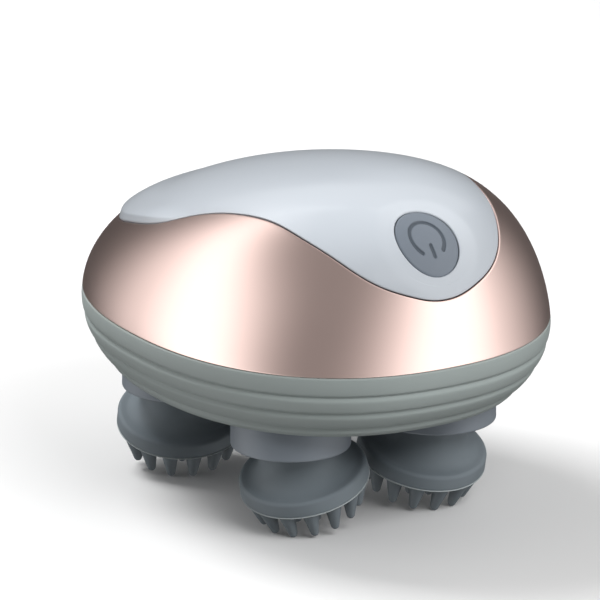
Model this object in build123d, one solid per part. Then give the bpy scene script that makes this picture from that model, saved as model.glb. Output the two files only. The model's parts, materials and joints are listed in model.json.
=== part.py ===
from build123d import *
import math
import os

# Electric scalp massager: a rounded hand-sized housing on four inclined kneading heads.
# Millimetres, +Z up. The lowest fingertips touch Z = 0, +X is the nose with the button,
# and X = Y = 0 is the middle of the housing's plan.

# ---------------------------------------------------------------- housing outline
seam_half_length = 57.0
seam_half_width = 47.35
seam_exponent = 2.25
crown_exponent = 1.94
dome_height = 34.8
dome_lean = 21.6
lean_power = 2.0
length_power = 2.23
length_root = 1.95
width_power = 1.68
width_root = 2.6
dome_levels = (0.0, 0.12, 0.27, 0.43, 0.60, 0.76, 0.89, 0.96)
outline_points = 24

skirt_height = 16.8
skirt_inset_length = 9.0
skirt_inset_width = 7.4
skirt_curve = 2.3
skirt_shift = 1.0
skirt_levels = (0.0, 0.25, 0.5, 0.75, 1.0)
groove_levels = (0.30, 0.57, 0.85)
groove_width = 0.9
groove_depth = 0.5

cover_wall = 2.2
skirt_wall = 2.0
case_wall = 2.0
case_floor = 2.4
fit_gap = 0.1

# The line where the cover meets the side band: X from the middle of the seam, height above the seam,
# laid out on a housing of these two sizes and stretched with it.
edge_layout_half_length = 57.0
edge_layout_height = 34.8
cover_edge = (
    (-66.0, 13.3), (-50.0, 13.8), (-34.0, 14.8), (-21.6, 17.6), (-12.8, 19.6), (-5.0, 22.0), (2.0, 24.9),
    (11.0, 27.6), (18.5, 28.9), (26.0, 29.0), (35.5, 27.0), (42.8, 24.4), (49.0, 21.0),
    (53.0, 18.1), (55.2, 16.1), (57.0, 13.2), (62.0, 5.0),
)
tongue_height = 1.6

# ---------------------------------------------------------------- kneading heads
drive_offset = -3.1
head_spacing_x = 48.08
head_spacing_y = 37.2
head_tilt = 18.0
head_leans = {"front_right": -65.0, "front_left": 7.0, "rear_right": -30.0, "rear_left": 35.0}

collar_radius = 13.3
collar_wall = 1.2
collar_below_pivot = 6.8
pivot_below_base = 1.0
spigot_wall = 1.6
spigot_height = 1.4
spigot_grip = 1.5

neck_radius = 8.6
neck_top_drop = 4.2
neck_bottom_drop = 9.6
ridge_radius = 14.1
ridge_drop = 15.2
lip_radius = 14.5
lip_height = 3.0
cup_wall = 1.6
pad_inset = 1.3
pad_thickness = 2.2
flash_thickness = 0.4
flash_inset = 0.25
finger_length = 7.0
finger_base_radius = 1.85
finger_tip_radius = 1.0
outer_fingers = 14
outer_ring_radius = 12.0
inner_fingers = 7
inner_ring_radius = 6.2
finger_inward = 1.1

hub_radius = 5.0
pin_radius = 2.2
pin_end_drop = 13.5
bush_wall = 1.2
running_gap = 0.05
washer_radius = 3.7
washer_thickness = 0.5
screw_head_radius = 2.0
screw_head_height = 1.2
screw_shank_radius = 0.8
screw_length = 6.0

# ---------------------------------------------------------------- gearbox
shaft_radius = 2.5
elbow_radius = 3.3
shoulder_radius = 3.6
shoulder_drop = 2.6
bearing_wall = 1.4
seal_wall = 1.7
seal_height = 1.8
boss_wall = 2.2
boss_height = 3.8
layer_gap = 0.6
head_gear_teeth = 32
sun_teeth = 44
head_module = 0.8
head_gear_width = 4.0
wheel_teeth = 60
idler_pinion_teeth = 12
wheel_module = 0.6
wheel_width = 2.2
idler_wheel_teeth = 50
motor_pinion_teeth = 10
motor_module = 0.5
idler_wheel_width = 2.0
pressure_angle = 25.0
addendum = 0.85
dedendum = 1.15
tooth_backlash = 0.12
sun_hub_radius = 6.0
axle_radius = 1.5
idler_axle_radius = 1.0
deck_thickness = 1.8
deck_rear = 35.5
deck_front = 38.5
deck_half_width = 31.0
deck_corner = 12.0
post_radius = 3.0
rear_post_x = -33.0
front_post_x = 34.0
side_post_y = 28.0
plate_post_radius = 2.2
plate_post_places = ((-6.0, 21.4), (34.2, 11.0))
plate_thickness = 2.0
plate_rear = 9.5
plate_margin = 3.6

motor_radius = 12.2
motor_length = 18.0
motor_cap_height = 2.0
motor_nose_radius = 3.1
motor_nose_height = 1.2
motor_shaft_radius = 1.0
motor_screw_offset = 8.0
terminal_size = (2.4, 0.5, 3.0)
terminal_offset = 5.0

# ---------------------------------------------------------------- battery and charging
battery_radius = 9.15
battery_length = 49.5
battery_x = -20.5
battery_above_deck = 4.25
battery_cap_radius = 3.0
battery_cap_height = 1.0
cradle_wall = 1.2
cradle_half_length = 9.0
cradle_lip = 5.0
cradle_foot_length = 8.5
cradle_foot_half_width = 13.0
peg_radius = 1.4

charge_level = 0.27
charge_width = 14.0
charge_height = 5.0
charge_thickness = 3.9
charge_recess = 0.5
charge_flange = 1.2
charge_flange_thickness = 1.0
contact_radius = 1.2
contact_spacing = 6.0
contact_tail = 1.5

# ---------------------------------------------------------------- button and electronics
button_level = 0.80
button_half_length = 8.6
button_half_width = 7.1
button_sink = 1.0
button_gap = 0.3
button_travel = 0.6
well_wall = 1.1
well_depth = 5.6
gasket_height = 0.8
gasket_wall = 0.8
button_flange = 0.9
button_flange_thickness = 1.0
stem_radius = 2.0
stem_length = 1.0
glyph_share = 0.54
glyph_line = 0.8
glyph_depth = 0.3
glyph_gap_half_angle = 32.0
plunger_radius = 1.7
plunger_length = 2.2
switch_size = 6.0
switch_height = 2.4
board_length = 20.0
board_width = 27.0
board_thickness = 1.2
board_corner = 2.0
board_post_radius = 2.2
board_hole_rear = 7.0
board_hole_front = 2.0
board_hole_side = 10.5
wire_radius = 0.5

# ---------------------------------------------------------------- closing screws
case_screw_radius = 1.3
case_head_radius = 2.4
case_head_height = 1.6
case_boss_radius = 3.0
case_screw_places = ((43.5, 0.0), (0.0, 34.5), (0.0, -34.5), (-39.5, 0.0))
case_screw_grip = 5.0
band_boss_height = 6.5
band_rib_width = 3.0
band_rib_turns = ((0.0,), (90.0,), (-90.0,), (130.0, 230.0))
gasket_width = 0.8
gasket_thickness = 1.1
rim_height = 3.0
rim_wall = 1.8
rim_gap = 0.6
gasket_squeeze = 0.4
small_screw_radius = 1.0
small_head_radius = 1.9
small_head_height = 1.3
small_screw_grip = 5.0

os.makedirs("parts", exist_ok=True)

# ---------------------------------------------------------------- derived places
tilt = math.radians(head_tilt)
lip_drop = ridge_drop + lip_height
tip_drop = lip_drop + finger_length
bush_end_drop = pin_end_drop - 2 * running_gap
tip_ring_radius = outer_ring_radius - finger_inward
tip_share = math.cos(math.pi / outer_fingers)
pivot_z = (
    (tip_drop - finger_tip_radius) * math.cos(tilt)
    + tip_ring_radius * tip_share * math.sin(tilt)
    + finger_tip_radius
)
base_z = pivot_z + pivot_below_base
seam_z = base_z + skirt_height
floor_top = base_z + case_floor
boss_top = floor_top + boss_height
head_gear_z = boss_top + layer_gap
deck_z = head_gear_z + head_gear_width + layer_gap
deck_top = deck_z + deck_thickness
wheel_z = deck_top + layer_gap
idler_wheel_z = wheel_z + wheel_width + layer_gap
plate_z = idler_wheel_z + idler_wheel_width + layer_gap
plate_top = plate_z + plate_thickness


def dome_lean_at(level):
    """Shift of a housing section towards the nose, at a share of the dome's height."""
    return dome_lean * level ** lean_power


def length_share(level):
    return (1 - level ** length_power) ** (1 / length_root)


def width_share(level):
    return (1 - level ** width_power) ** (1 / width_root)


def nose_x(level):
    return dome_lean_at(level) + seam_half_length * length_share(level)


def tail_x(level):
    return dome_lean_at(level) - seam_half_length * length_share(level)


plan_samples = [k / 200 for k in range(200)]
plan_front = max(nose_x(level) for level in plan_samples)
plan_rear = min(tail_x(level) for level in plan_samples)
seam_x = -(plan_front + plan_rear) / 2
drive_x = seam_x + drive_offset
idler_x = drive_x + (wheel_teeth + idler_pinion_teeth) * wheel_module / 2
motor_x = idler_x - (idler_wheel_teeth + motor_pinion_teeth) * motor_module / 2

# The gear centres fix the heads: the spacing is scaled a little to the sun gear's mesh.
mesh_distance = (sun_teeth + head_gear_teeth) * head_module / 2
head_angle = math.atan2(head_spacing_y, head_spacing_x)
head_x = mesh_distance * math.cos(head_angle)
head_y = mesh_distance * math.sin(head_angle)
head_places = {
    "front_right": (drive_x + head_x, -head_y),
    "front_left": (drive_x + head_x, head_y),
    "rear_right": (drive_x - head_x, -head_y),
    "rear_left": (drive_x - head_x, head_y),
}

nodes = {}


# ---------------------------------------------------------------- shapes used more than once
def superellipse(half_length, half_width, centre_x, z, exponent):
    """Closed smooth outline at height z."""
    points = []
    for k in range(outline_points):
        angle = 2 * math.pi * k / outline_points
        c = math.cos(angle)
        s = math.sin(angle)
        reach = (abs(c) ** exponent + abs(s) ** exponent) ** (-1 / exponent)
        points.append(Vector(centre_x + half_length * reach * c, half_width * reach * s, z))
    shares = [k / outline_points for k in range(outline_points + 1)]
    return Wire([Edge.make_spline(points, periodic=True, parameters=shares)])


def dome(inset):
    """The housing above the seam, moved inwards by inset."""
    sections = []
    height = dome_height - inset
    for level in dome_levels:
        outer_level = level * height / dome_height
        sections.append(superellipse(
            (seam_half_length - inset) * length_share(level),
            (seam_half_width - inset) * width_share(level),
            seam_x + dome_lean_at(outer_level),
            seam_z + height * level,
            seam_exponent + (crown_exponent - seam_exponent) * level,
        ))
    apex_x = seam_x + dome_lean_at(height / dome_height)
    apex = Vertex(apex_x, 0, seam_z + height)
    return Solid.make_loft(sections + [apex], False)


def skirt_inset(level):
    """How far the skirt has drawn in at a share of its depth, along and across."""
    share = level ** skirt_curve
    return skirt_inset_length * share, skirt_inset_width * share


def skirt_section(level, inset):
    along, across = skirt_inset(level)
    return superellipse(
        seam_half_length - along - inset,
        seam_half_width - across - inset,
        seam_x - skirt_shift * level,
        seam_z - skirt_height * level,
        seam_exponent,
    )


def under_seam(inset):
    """The housing below the seam, down to the base, moved inwards by inset."""
    return Solid.make_loft([skirt_section(level, inset) for level in skirt_levels], False)


def seam_ring(outer_inset, inner_inset, z, height):
    """A flat-sided ring that follows the seam's outline."""
    solids = []
    for inset in (outer_inset, inner_inset):
        wire = superellipse(
            seam_half_length - inset, seam_half_width - inset, seam_x, z, seam_exponent
        )
        solids.append(Solid.extrude(Face(wire), Vector(0, 0, height)))
    return solids[0] - solids[1]


def column(x, y, z, radius, height):
    """A round column standing on z."""
    return Location((x, y, z)) * Cylinder(radius, height, align=(Align.CENTER, Align.CENTER, Align.MIN))


def tube(x, y, z, outer, inner, height):
    return column(x, y, z, outer, height) - column(x, y, z, inner, height)


def block(x0, x1, y0, y1, z0, z1):
    centre = ((x0 + x1) / 2, (y0 + y1) / 2, (z0 + z1) / 2)
    return Location(centre) * Box(x1 - x0, y1 - y0, z1 - z0)


def turned(profile):
    """Revolve a closed outline of (radius, height) points about Z."""
    wire = Wire.make_polygon([Vector(r, 0, z) for r, z in profile], close=True)
    return Solid.revolve(Face(wire), 360, Axis.Z)


def screw(place, grip, shank, head_radius, head_height):
    """A pan-head screw with a cross slot: it points down its own -Z, its head sits on z = 0."""
    body = column(0, 0, -grip, shank, grip) + column(0, 0, 0, head_radius, head_height)
    slot_depth = head_height / 2
    slot_width = head_radius / 3
    for turn in (0, 90):
        slot = Box(head_radius * 1.2, slot_width, slot_depth * 2)
        body -= Location((0, 0, head_height), (0, 0, turn)) * slot
    return place * body


def under_cover_edge(drop, clear_above=False):
    """Everything above (or below) the cover's edge line, lowered by drop."""
    along = seam_half_length / edge_layout_half_length
    upward = dome_height / edge_layout_height
    points = [(seam_x + x * along, seam_z + z * upward - drop) for x, z in cover_edge]
    far_z = seam_z + 2 * dome_height if clear_above else seam_z - dome_height
    first = points[0]
    last = points[-1]
    line = Edge.make_spline([Vector(x, 0, z) for x, z in points])
    sides = Edge.make_line(Vector(last[0], 0, last[1]), Vector(last[0], 0, far_z))
    top = Edge.make_line(Vector(last[0], 0, far_z), Vector(first[0], 0, far_z))
    back = Edge.make_line(Vector(first[0], 0, far_z), Vector(first[0], 0, first[1]))
    face = Face(Wire([line, sides, top, back]))
    reach = 2 * seam_half_width
    return Pos(0, -reach / 2, 0) * Solid.extrude(face, Vector(0, reach, 0))


def group(solids):
    return Compound(children=list(solids))


# ---------------------------------------------------------------- button frame
button_surface_x = seam_x + nose_x(button_level)
button_surface_z = seam_z + dome_height * button_level
slope_step = 0.001
nose_run = (nose_x(button_level + slope_step) - nose_x(button_level - slope_step)) / (2 * slope_step)
button_tilt = math.atan2(dome_height, -nose_run)
button_normal = Vector(math.sin(button_tilt), 0, math.cos(button_tilt))
button_origin = Vector(button_surface_x, 0, button_surface_z) - button_normal * button_sink
button_plane = Plane(
    origin=button_origin,
    x_dir=(math.cos(button_tilt), 0, -math.sin(button_tilt)),
    z_dir=button_normal,
)
well_end = -well_depth
flange_top = well_end - gasket_height - fit_gap
flange_end = flange_top - button_flange_thickness
plunger_top = flange_end - stem_length
switch_top = plunger_top - button_travel - fit_gap
board_top = switch_top - switch_height


def oval(extra, low, high, shrink_length=0.0):
    """An oval prism on the button's axis, between two depths."""
    sketch = Ellipse(button_half_length + extra - shrink_length, button_half_width + extra)
    solid = extrude(sketch, high - low)
    return button_plane.location * Location((0, 0, low)) * solid


# ---------------------------------------------------------------- cover and side band
outer_dome = dome(0)
inner_dome = dome(cover_wall)
shell = outer_dome - inner_dome
band_lap = dome(cover_wall / 2)
cover_lap = dome(cover_wall / 2 + fit_gap)
above_edge = under_cover_edge(0, True)
above_tongue = under_cover_edge(tongue_height, True)
above_rebate = under_cover_edge(tongue_height + fit_gap, True)
board_hole_places = [
    (x, side * board_hole_side) for x in (-board_hole_rear, board_hole_front) for side in (-1, 1)
]


def make_top_cover():
    reach = dome_height
    cover = (outer_dome & above_edge) + (cover_lap & above_tongue) - inner_dome
    well = oval(button_gap + well_wall, well_end, reach) & band_lap
    hole = oval(button_gap, well_end - reach, reach)
    cover = cover + well
    cover = cover - hole
    for x, y in board_hole_places:
        post = Pos(x, y, board_top) * Cylinder(
            board_post_radius, reach, align=(Align.CENTER, Align.CENTER, Align.MIN))
        pilot = Pos(x, y, board_top) * Cylinder(
            small_screw_radius, small_screw_grip, align=(Align.CENTER, Align.CENTER, Align.MIN))
        post = (button_plane.location * post) & band_lap
        cover = cover + post
        cover = cover - button_plane.location * pilot
    return cover


charge_x = seam_x + tail_x(charge_level)
charge_z = seam_z + dome_height * charge_level
tail_run = (tail_x(charge_level + slope_step) - tail_x(charge_level - slope_step)) / (2 * slope_step)
charge_tilt = math.atan2(tail_run, dome_height)
charge_plane = Plane(
    origin=(charge_x, 0, charge_z),
    x_dir=(0, 1, 0),
    z_dir=(-math.cos(charge_tilt), 0, math.sin(charge_tilt)),
)
charge_face = -charge_recess
charge_back = charge_face - charge_thickness
flange_front = charge_back + charge_flange_thickness


def on_charge_axis(radius, low, high, offset=0.0):
    """A round column along the charging face's axis, between two depths."""
    solid = Cylinder(radius, high - low, align=(Align.CENTER, Align.CENTER, Align.MIN))
    return charge_plane.location * Pos(offset, 0, low) * solid


def charge_slab(extra, low, high):
    """The charging face's long round-ended outline, grown by extra, between two depths."""
    sketch = SlotOverall(charge_width + 2 * extra, charge_height + 2 * extra)
    return charge_plane.location * Pos(0, 0, low) * extrude(sketch, high - low)


def make_side_band():
    band = outer_dome - (above_edge + (band_lap & above_rebate)) - inner_dome
    boss_z = seam_z + fit_gap
    rib_z = seam_z + rim_height + fit_gap
    for (x, y), turns in zip(case_screw_places, band_rib_turns):
        px = drive_x + x
        band = band + column(px, y, boss_z, case_boss_radius, band_boss_height - fit_gap)
        for turn in turns:
            half = band_rib_width / 2
            rib = block(0, seam_half_width, -half, half, rib_z, seam_z + band_boss_height)
            rib = Location((px, y, 0), (0, 0, turn)) * rib
            band = band + (rib & band_lap)
    for x, y in case_screw_places:
        band = band - column(drive_x + x, y, seam_z, case_screw_radius, case_screw_grip + fit_gap)
    seat = (charge_slab(charge_flange, flange_front, 0) & band_lap) - above_rebate
    band = band + seat
    band = band - charge_slab(fit_gap, -charge_width, charge_width)
    band = band - charge_slab(charge_flange + fit_gap, -charge_width / 2, flange_front)
    # The last cut frees a crumb at the foot of the seat, which isn't part of the band.
    return max(band.solids(), key=lambda solid: solid.volume)


# ---------------------------------------------------------------- skirt and lower case
def make_skirt():
    skirt = under_seam(0) - under_seam(skirt_wall)
    half = groove_width / skirt_height / 2
    for level in groove_levels:
        rings = []
        for inset in (-groove_depth * 4, groove_depth):
            sections = [skirt_section(level - half, inset), skirt_section(level + half, inset)]
            rings.append(Solid.make_loft(sections, True))
        skirt = skirt - (rings[0] - rings[1])
    return skirt


def make_lower_case():
    case_inset = skirt_wall + fit_gap
    inner = under_seam(case_inset + case_wall)
    inner = inner & block(-200, 200, -200, 200, floor_top, seam_z + 1)
    case = under_seam(case_inset) - inner
    rim_inset = cover_wall + rim_gap
    rim = seam_ring(rim_inset, rim_inset + rim_wall, seam_z, rim_height)
    seat_z = seam_z + (rim_height - gasket_thickness) / 2
    rim = rim - seam_ring(rim_inset - 1, rim_inset + gasket_width, seat_z, gasket_thickness)
    case = case + rim
    bush_outer = shaft_radius + bearing_wall
    seal_outer = shaft_radius + seal_wall
    for x, y in head_places.values():
        case = case + column(x, y, floor_top, bush_outer + boss_wall, boss_height)
        case = case - column(x, y, base_z, seal_outer, case_floor)
        case = case - column(x, y, floor_top - fit_gap, bush_outer, boss_height + 1)
        ring = tube(x, y, base_z, collar_bore + fit_gap / 2, collar_bore - spigot_wall - fit_gap / 2,
                    spigot_height + fit_gap)
        case = case - ring
    case = case + column(drive_x, 0, floor_top, axle_radius + boss_wall, boss_height)
    case = case - column(drive_x, 0, floor_top, axle_radius, boss_height)
    deck_posts = ((rear_post_x, 0), (front_post_x, 0), (0, side_post_y), (0, -side_post_y))
    for x, y in deck_posts:
        post = column(drive_x + x, y, floor_top, post_radius, deck_z - floor_top)
        pilot = column(drive_x + x, y, deck_z - small_screw_grip, small_screw_radius, small_screw_grip)
        case = case + post
        case = case - pilot
    for x, y in case_screw_places:
        px = drive_x + x
        post = column(px, y, floor_top, case_boss_radius, seam_z - floor_top) & under_seam(case_inset)
        case = case + post
        case = case - column(px, y, base_z, case_screw_radius + fit_gap, skirt_height)
        case = case - column(px, y, base_z, case_head_radius + fit_gap, case_head_height + 1)
    return case


# ---------------------------------------------------------------- collars and heads
collar_bore = collar_radius - collar_wall
collar_z = pivot_z - collar_below_pivot


def make_collar(x, y):
    ring = tube(x, y, collar_z, collar_radius, collar_bore, base_z - collar_z)
    spigot = tube(x, y, base_z - spigot_grip, collar_bore, collar_bore - spigot_wall,
                  spigot_grip + spigot_height)
    collar = ring + spigot
    edge = [e for e in collar.edges().filter_by(GeomType.CIRCLE)
            if abs(e.center().Z - collar_z) < 0.01 and abs(e.radius - collar_radius) < 0.01]
    return fillet(edge, collar_wall / 3)


def head_frame(name):
    """Location of a head: origin on the collar's axis, -Z down the inclined axis."""
    x, y = head_places[name]
    return Location((x, y, pivot_z), (0, 0, head_leans[name])) * Rotation(0, head_tilt, 0)


def make_cup():
    """The soft-touch cup: neck, flared shoulder and lip, hollow between hub and wall."""
    flare_run = ridge_radius - neck_radius
    flare_fall = ridge_drop - neck_bottom_drop
    with BuildLine() as outline:
        Line((hub_radius, -neck_top_drop), (neck_radius, -neck_top_drop))
        Line((neck_radius, -neck_top_drop), (neck_radius, -neck_bottom_drop))
        Spline(
            (neck_radius, -neck_bottom_drop),
            (neck_radius + flare_run * 0.35, -neck_bottom_drop - flare_fall * 0.72),
            (ridge_radius - 0.7, -ridge_drop + 0.1),
            tangents=((0, -1), (1, -0.25)),
        )
        Spline(
            (ridge_radius - 0.7, -ridge_drop + 0.1),
            (ridge_radius, -ridge_drop - 0.4),
            (lip_radius, -lip_drop),
            tangents=((1, -0.25), (0.1, -1)),
        )
        Line((lip_radius, -lip_drop), (lip_radius - pad_inset, -lip_drop))
        Line((lip_radius - pad_inset, -lip_drop), (lip_radius - pad_inset, -lip_drop + pad_thickness))
        Line((lip_radius - pad_inset, -lip_drop + pad_thickness), (hub_radius, -lip_drop + pad_thickness))
        Line((hub_radius, -lip_drop + pad_thickness), (hub_radius, -neck_top_drop))
    face = make_face(outline.line)
    return face


def build_cup():
    wall_r = neck_radius - cup_wall
    seat = -lip_drop + pad_thickness
    cup = revolve(Plane.XZ * make_cup(), Axis.Z)
    cup = cup + column(0, 0, seat, hub_radius, -neck_top_drop - seat)
    hollow = turned([
        (hub_radius, -neck_top_drop - cup_wall),
        (wall_r, -neck_top_drop - cup_wall),
        (wall_r, -neck_bottom_drop - 1.2),
        (ridge_radius - 2.9, seat),
        (hub_radius, seat),
    ])
    cup = cup - hollow
    bush_outer = pin_radius + running_gap + bush_wall
    cup = cup - column(0, 0, seat, bush_outer, -neck_top_drop - seat)
    cup = cup - column(0, 0, seat, washer_radius + 0.4, -bush_end_drop - seat)
    return cup


def build_pad():
    """The finger pad: a disc in the lip, a thin flash under it and two rings of fingers."""
    top = -lip_drop + pad_thickness
    disc_radius = lip_radius - pad_inset
    pad = column(0, 0, -lip_drop, disc_radius, pad_thickness)
    pad = pad + column(0, 0, -lip_drop - flash_thickness, lip_radius - flash_inset, flash_thickness)
    run = finger_length - flash_thickness - finger_tip_radius
    lean = math.atan2(finger_inward, run)
    slant = math.hypot(finger_inward, run)
    with BuildLine() as outline:
        Line((0, flash_thickness), (finger_base_radius, flash_thickness))
        Line((finger_base_radius, flash_thickness), (finger_base_radius, 0))
        Line((finger_base_radius, 0), (finger_tip_radius, -slant))
        RadiusArc((finger_tip_radius, -slant), (0, -slant - finger_tip_radius), finger_tip_radius)
        Line((0, -slant - finger_tip_radius), (0, flash_thickness))
    finger = revolve(Plane.XZ * make_face(outline.line), Axis.Z)
    fingers = []
    rings = ((outer_fingers, outer_ring_radius, 0.5), (inner_fingers, inner_ring_radius, 0.0))
    for count, radius, phase in rings:
        for k in range(count):
            spin = Rotation(0, 0, (k + phase) * 360 / count)
            seat = Location((radius, 0, -lip_drop - flash_thickness)) * Rotation(0, math.degrees(lean), 0)
            fingers.append(spin * seat * finger)
    return pad.fuse(*fingers)


# ---------------------------------------------------------------- gears
def involute(angle):
    return math.tan(angle) - angle


def gear_face(teeth, module, phase):
    """Spur gear outline; the first tooth points at the phase angle, in radians."""
    pitch = teeth * module / 2
    press = math.radians(pressure_angle)
    base = pitch * math.cos(press)
    tip = pitch + addendum * module
    root = pitch - dedendum * module
    start = max(base, root + 0.02)
    half = math.pi / (2 * teeth) - tooth_backlash / (2 * pitch)

    def half_angle(radius):
        return half + involute(press) - involute(math.acos(min(1, base / radius)))

    radii = (start, (start + tip) / 2, tip)
    points = []
    for k in range(teeth):
        centre = phase + 2 * math.pi * k / teeth
        flank = [(root, half_angle(start))] + [(r, half_angle(r)) for r in radii]
        points += [(r, centre - a) for r, a in flank]
        points += [(r, centre + a) for r, a in reversed(flank)]
    corners = [Vector(r * math.cos(a), r * math.sin(a), 0) for r, a in points]
    return Face(Wire.make_polygon(corners, close=True))


def gear(x, y, z, teeth, module, width, phase=0.0):
    return Pos(x, y, z) * Solid.extrude(gear_face(teeth, module, phase), Vector(0, 0, width))


def meshing_phase(driver_phase, driver_teeth, driven_teeth, direction):
    """Phase of a driven gear whose gap meets the driver's tooth; direction points at the driven gear."""
    pitch_angle = 2 * math.pi / driver_teeth
    offset = (driver_phase - direction) % pitch_angle
    turn_back = offset * driver_teeth / driven_teeth
    return direction + math.pi - turn_back + math.pi / driven_teeth


def make_drive_gear():
    sun = gear(drive_x, 0, head_gear_z, sun_teeth, head_module, head_gear_width)
    hub = column(drive_x, 0, head_gear_z, sun_hub_radius, wheel_z - head_gear_z)
    wheel = gear(drive_x, 0, wheel_z, wheel_teeth, wheel_module, wheel_width)
    bore_length = wheel_z - head_gear_z + wheel_width
    bore = column(drive_x, 0, head_gear_z, axle_radius + running_gap, bore_length)
    return sun + hub + wheel - bore


def make_idler_gear():
    phase = meshing_phase(0, wheel_teeth, idler_pinion_teeth, 0)
    pinion_height = idler_wheel_z - wheel_z
    pinion = gear(idler_x, 0, wheel_z, idler_pinion_teeth, wheel_module, pinion_height, phase)
    wheel = gear(idler_x, 0, idler_wheel_z, idler_wheel_teeth, motor_module, idler_wheel_width)
    bore_length = pinion_height + idler_wheel_width
    bore = column(idler_x, 0, wheel_z, idler_axle_radius + running_gap, bore_length)
    return pinion + wheel - bore


def make_motor_pinion():
    phase = meshing_phase(0, idler_wheel_teeth, motor_pinion_teeth, math.pi)
    height = idler_wheel_width + layer_gap / 2
    z = idler_wheel_z - layer_gap / 4
    pinion = gear(motor_x, 0, z, motor_pinion_teeth, motor_module, height, phase)
    return pinion - column(motor_x, 0, z - 1, motor_shaft_radius, height + 2)


def make_head_gear(name):
    x, y = head_places[name]
    direction = math.atan2(y, x - drive_x)
    phase = meshing_phase(0, sun_teeth, head_gear_teeth, direction)
    wheel = gear(x, y, head_gear_z, head_gear_teeth, head_module, head_gear_width, phase)
    return wheel - column(x, y, head_gear_z - 1, shaft_radius, head_gear_width + 2)


def make_crank(name):
    """Upright shaft, elbow and inclined pin in one piece."""
    x, y = head_places[name]
    shaft_top = deck_top + layer_gap / 2
    shaft = column(x, y, pivot_z, shaft_radius, shaft_top - pivot_z)
    shaft = shaft + column(x, y, pivot_z, elbow_radius, base_z - fit_gap - pivot_z)
    elbow_low = pivot_z - elbow_radius
    trim = column(x, y, elbow_low, elbow_radius + 1, base_z - fit_gap - elbow_low)
    shaft = shaft + ((Location((x, y, pivot_z)) * Sphere(elbow_radius)) & trim)
    pin = column(0, 0, -pin_end_drop, pin_radius, pin_end_drop)
    shoulder_height = neck_top_drop - fit_gap - shoulder_drop
    shoulder = column(0, 0, -shoulder_drop - shoulder_height, shoulder_radius, shoulder_height)
    thread = column(0, 0, -pin_end_drop, screw_shank_radius, screw_length)
    inclined = (pin + shoulder) - thread
    crank = shaft + head_frame(name) * inclined
    return crank


def make_head_screw(name):
    washer = column(0, 0, -pin_end_drop - washer_thickness, washer_radius, washer_thickness)
    head_z = -pin_end_drop - washer_thickness - screw_head_height
    head = column(0, 0, head_z, screw_head_radius, screw_head_height)
    slot = Location((0, 0, head_z)) * Box(screw_head_radius * 1.3, screw_head_radius / 3, screw_head_height)
    shank = column(0, 0, -pin_end_drop, screw_shank_radius, screw_length)
    return head_frame(name) * ((washer + head + shank) - slot)


def make_head_bush(name):
    inner = pin_radius + running_gap
    bush = tube(0, 0, -bush_end_drop, inner + bush_wall, inner, bush_end_drop - neck_top_drop)
    return head_frame(name) * bush


# ---------------------------------------------------------------- gearbox plates and motor
def make_gear_deck():
    length = deck_front + deck_rear
    sketch = RectangleRounded(length, 2 * deck_half_width, deck_corner)
    centre_x = drive_x + (deck_front - deck_rear) / 2
    deck = Pos(centre_x, 0, deck_z) * extrude(sketch, deck_thickness)
    deck = deck - column(drive_x, 0, deck_z, sun_hub_radius + layer_gap, deck_thickness)
    for x, y in head_places.values():
        deck = deck - column(x, y, deck_z, shaft_radius + bearing_wall, deck_thickness)
    deck = deck - column(idler_x, 0, deck_z, idler_axle_radius, deck_thickness)
    posts = ((rear_post_x, 0), (front_post_x, 0), (0, side_post_y), (0, -side_post_y))
    for x, y in posts:
        deck = deck - column(drive_x + x, y, deck_z, small_screw_radius + fit_gap, deck_thickness)
    for y in (-1, 1):
        deck = deck - column(drive_x + cradle_foot_x, y * cradle_foot_half_width / 2, deck_z,
                             peg_radius + fit_gap, deck_thickness)
    for x, y in plate_post_places:
        for side in (-1, 1):
            post = column(drive_x + x, side * y, deck_top, plate_post_radius, plate_z - deck_top)
            pilot = column(drive_x + x, side * y, plate_z - small_screw_grip, small_screw_radius,
                           small_screw_grip)
            deck = deck + post
            deck = deck - pilot
    return deck


def make_motor_plate():
    rear_y = plate_post_places[0][1] + plate_margin
    front_x = plate_post_places[1][0] + plate_margin
    front_y = plate_post_places[1][1] + plate_margin
    corners = [(-plate_rear, -rear_y), (front_x / 3, -rear_y), (front_x, -front_y),
               (front_x, front_y), (front_x / 3, rear_y), (-plate_rear, rear_y)]
    face = Face(Wire.make_polygon([Vector(drive_x + x, y, plate_z) for x, y in corners], close=True))
    plate = Solid.extrude(face, Vector(0, 0, plate_thickness))
    plate = fillet(plate.edges().filter_by(Axis.Z), plate_margin)
    plate = plate - column(drive_x, 0, plate_z, axle_radius, plate_thickness)
    plate = plate - column(idler_x, 0, plate_z, idler_axle_radius, plate_thickness)
    plate = plate - column(motor_x, 0, plate_z, motor_nose_radius + fit_gap, plate_thickness)
    for x, y in plate_post_places:
        for side in (-1, 1):
            hole = column(drive_x + x, side * y, plate_z, small_screw_radius + fit_gap, plate_thickness)
            plate = plate - hole
    for side in (-1, 1):
        plate = plate - column(motor_x, side * motor_screw_offset, plate_z, small_screw_radius + fit_gap,
                               plate_thickness)
    return plate


def make_motor_can():
    can = column(motor_x, 0, plate_top, motor_radius, motor_length)
    can = fillet(can.edges().filter_by(GeomType.CIRCLE), 0.8)
    nose = column(motor_x, 0, plate_top - motor_nose_height, motor_nose_radius, motor_nose_height)
    can = can + nose
    can = can - column(motor_x, 0, plate_top - motor_nose_height, motor_shaft_radius + running_gap,
                       motor_length * 0.8)
    for side in (-1, 1):
        can = can - column(motor_x, side * motor_screw_offset, plate_top, small_screw_radius,
                           small_screw_grip - plate_thickness)
    return can


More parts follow.
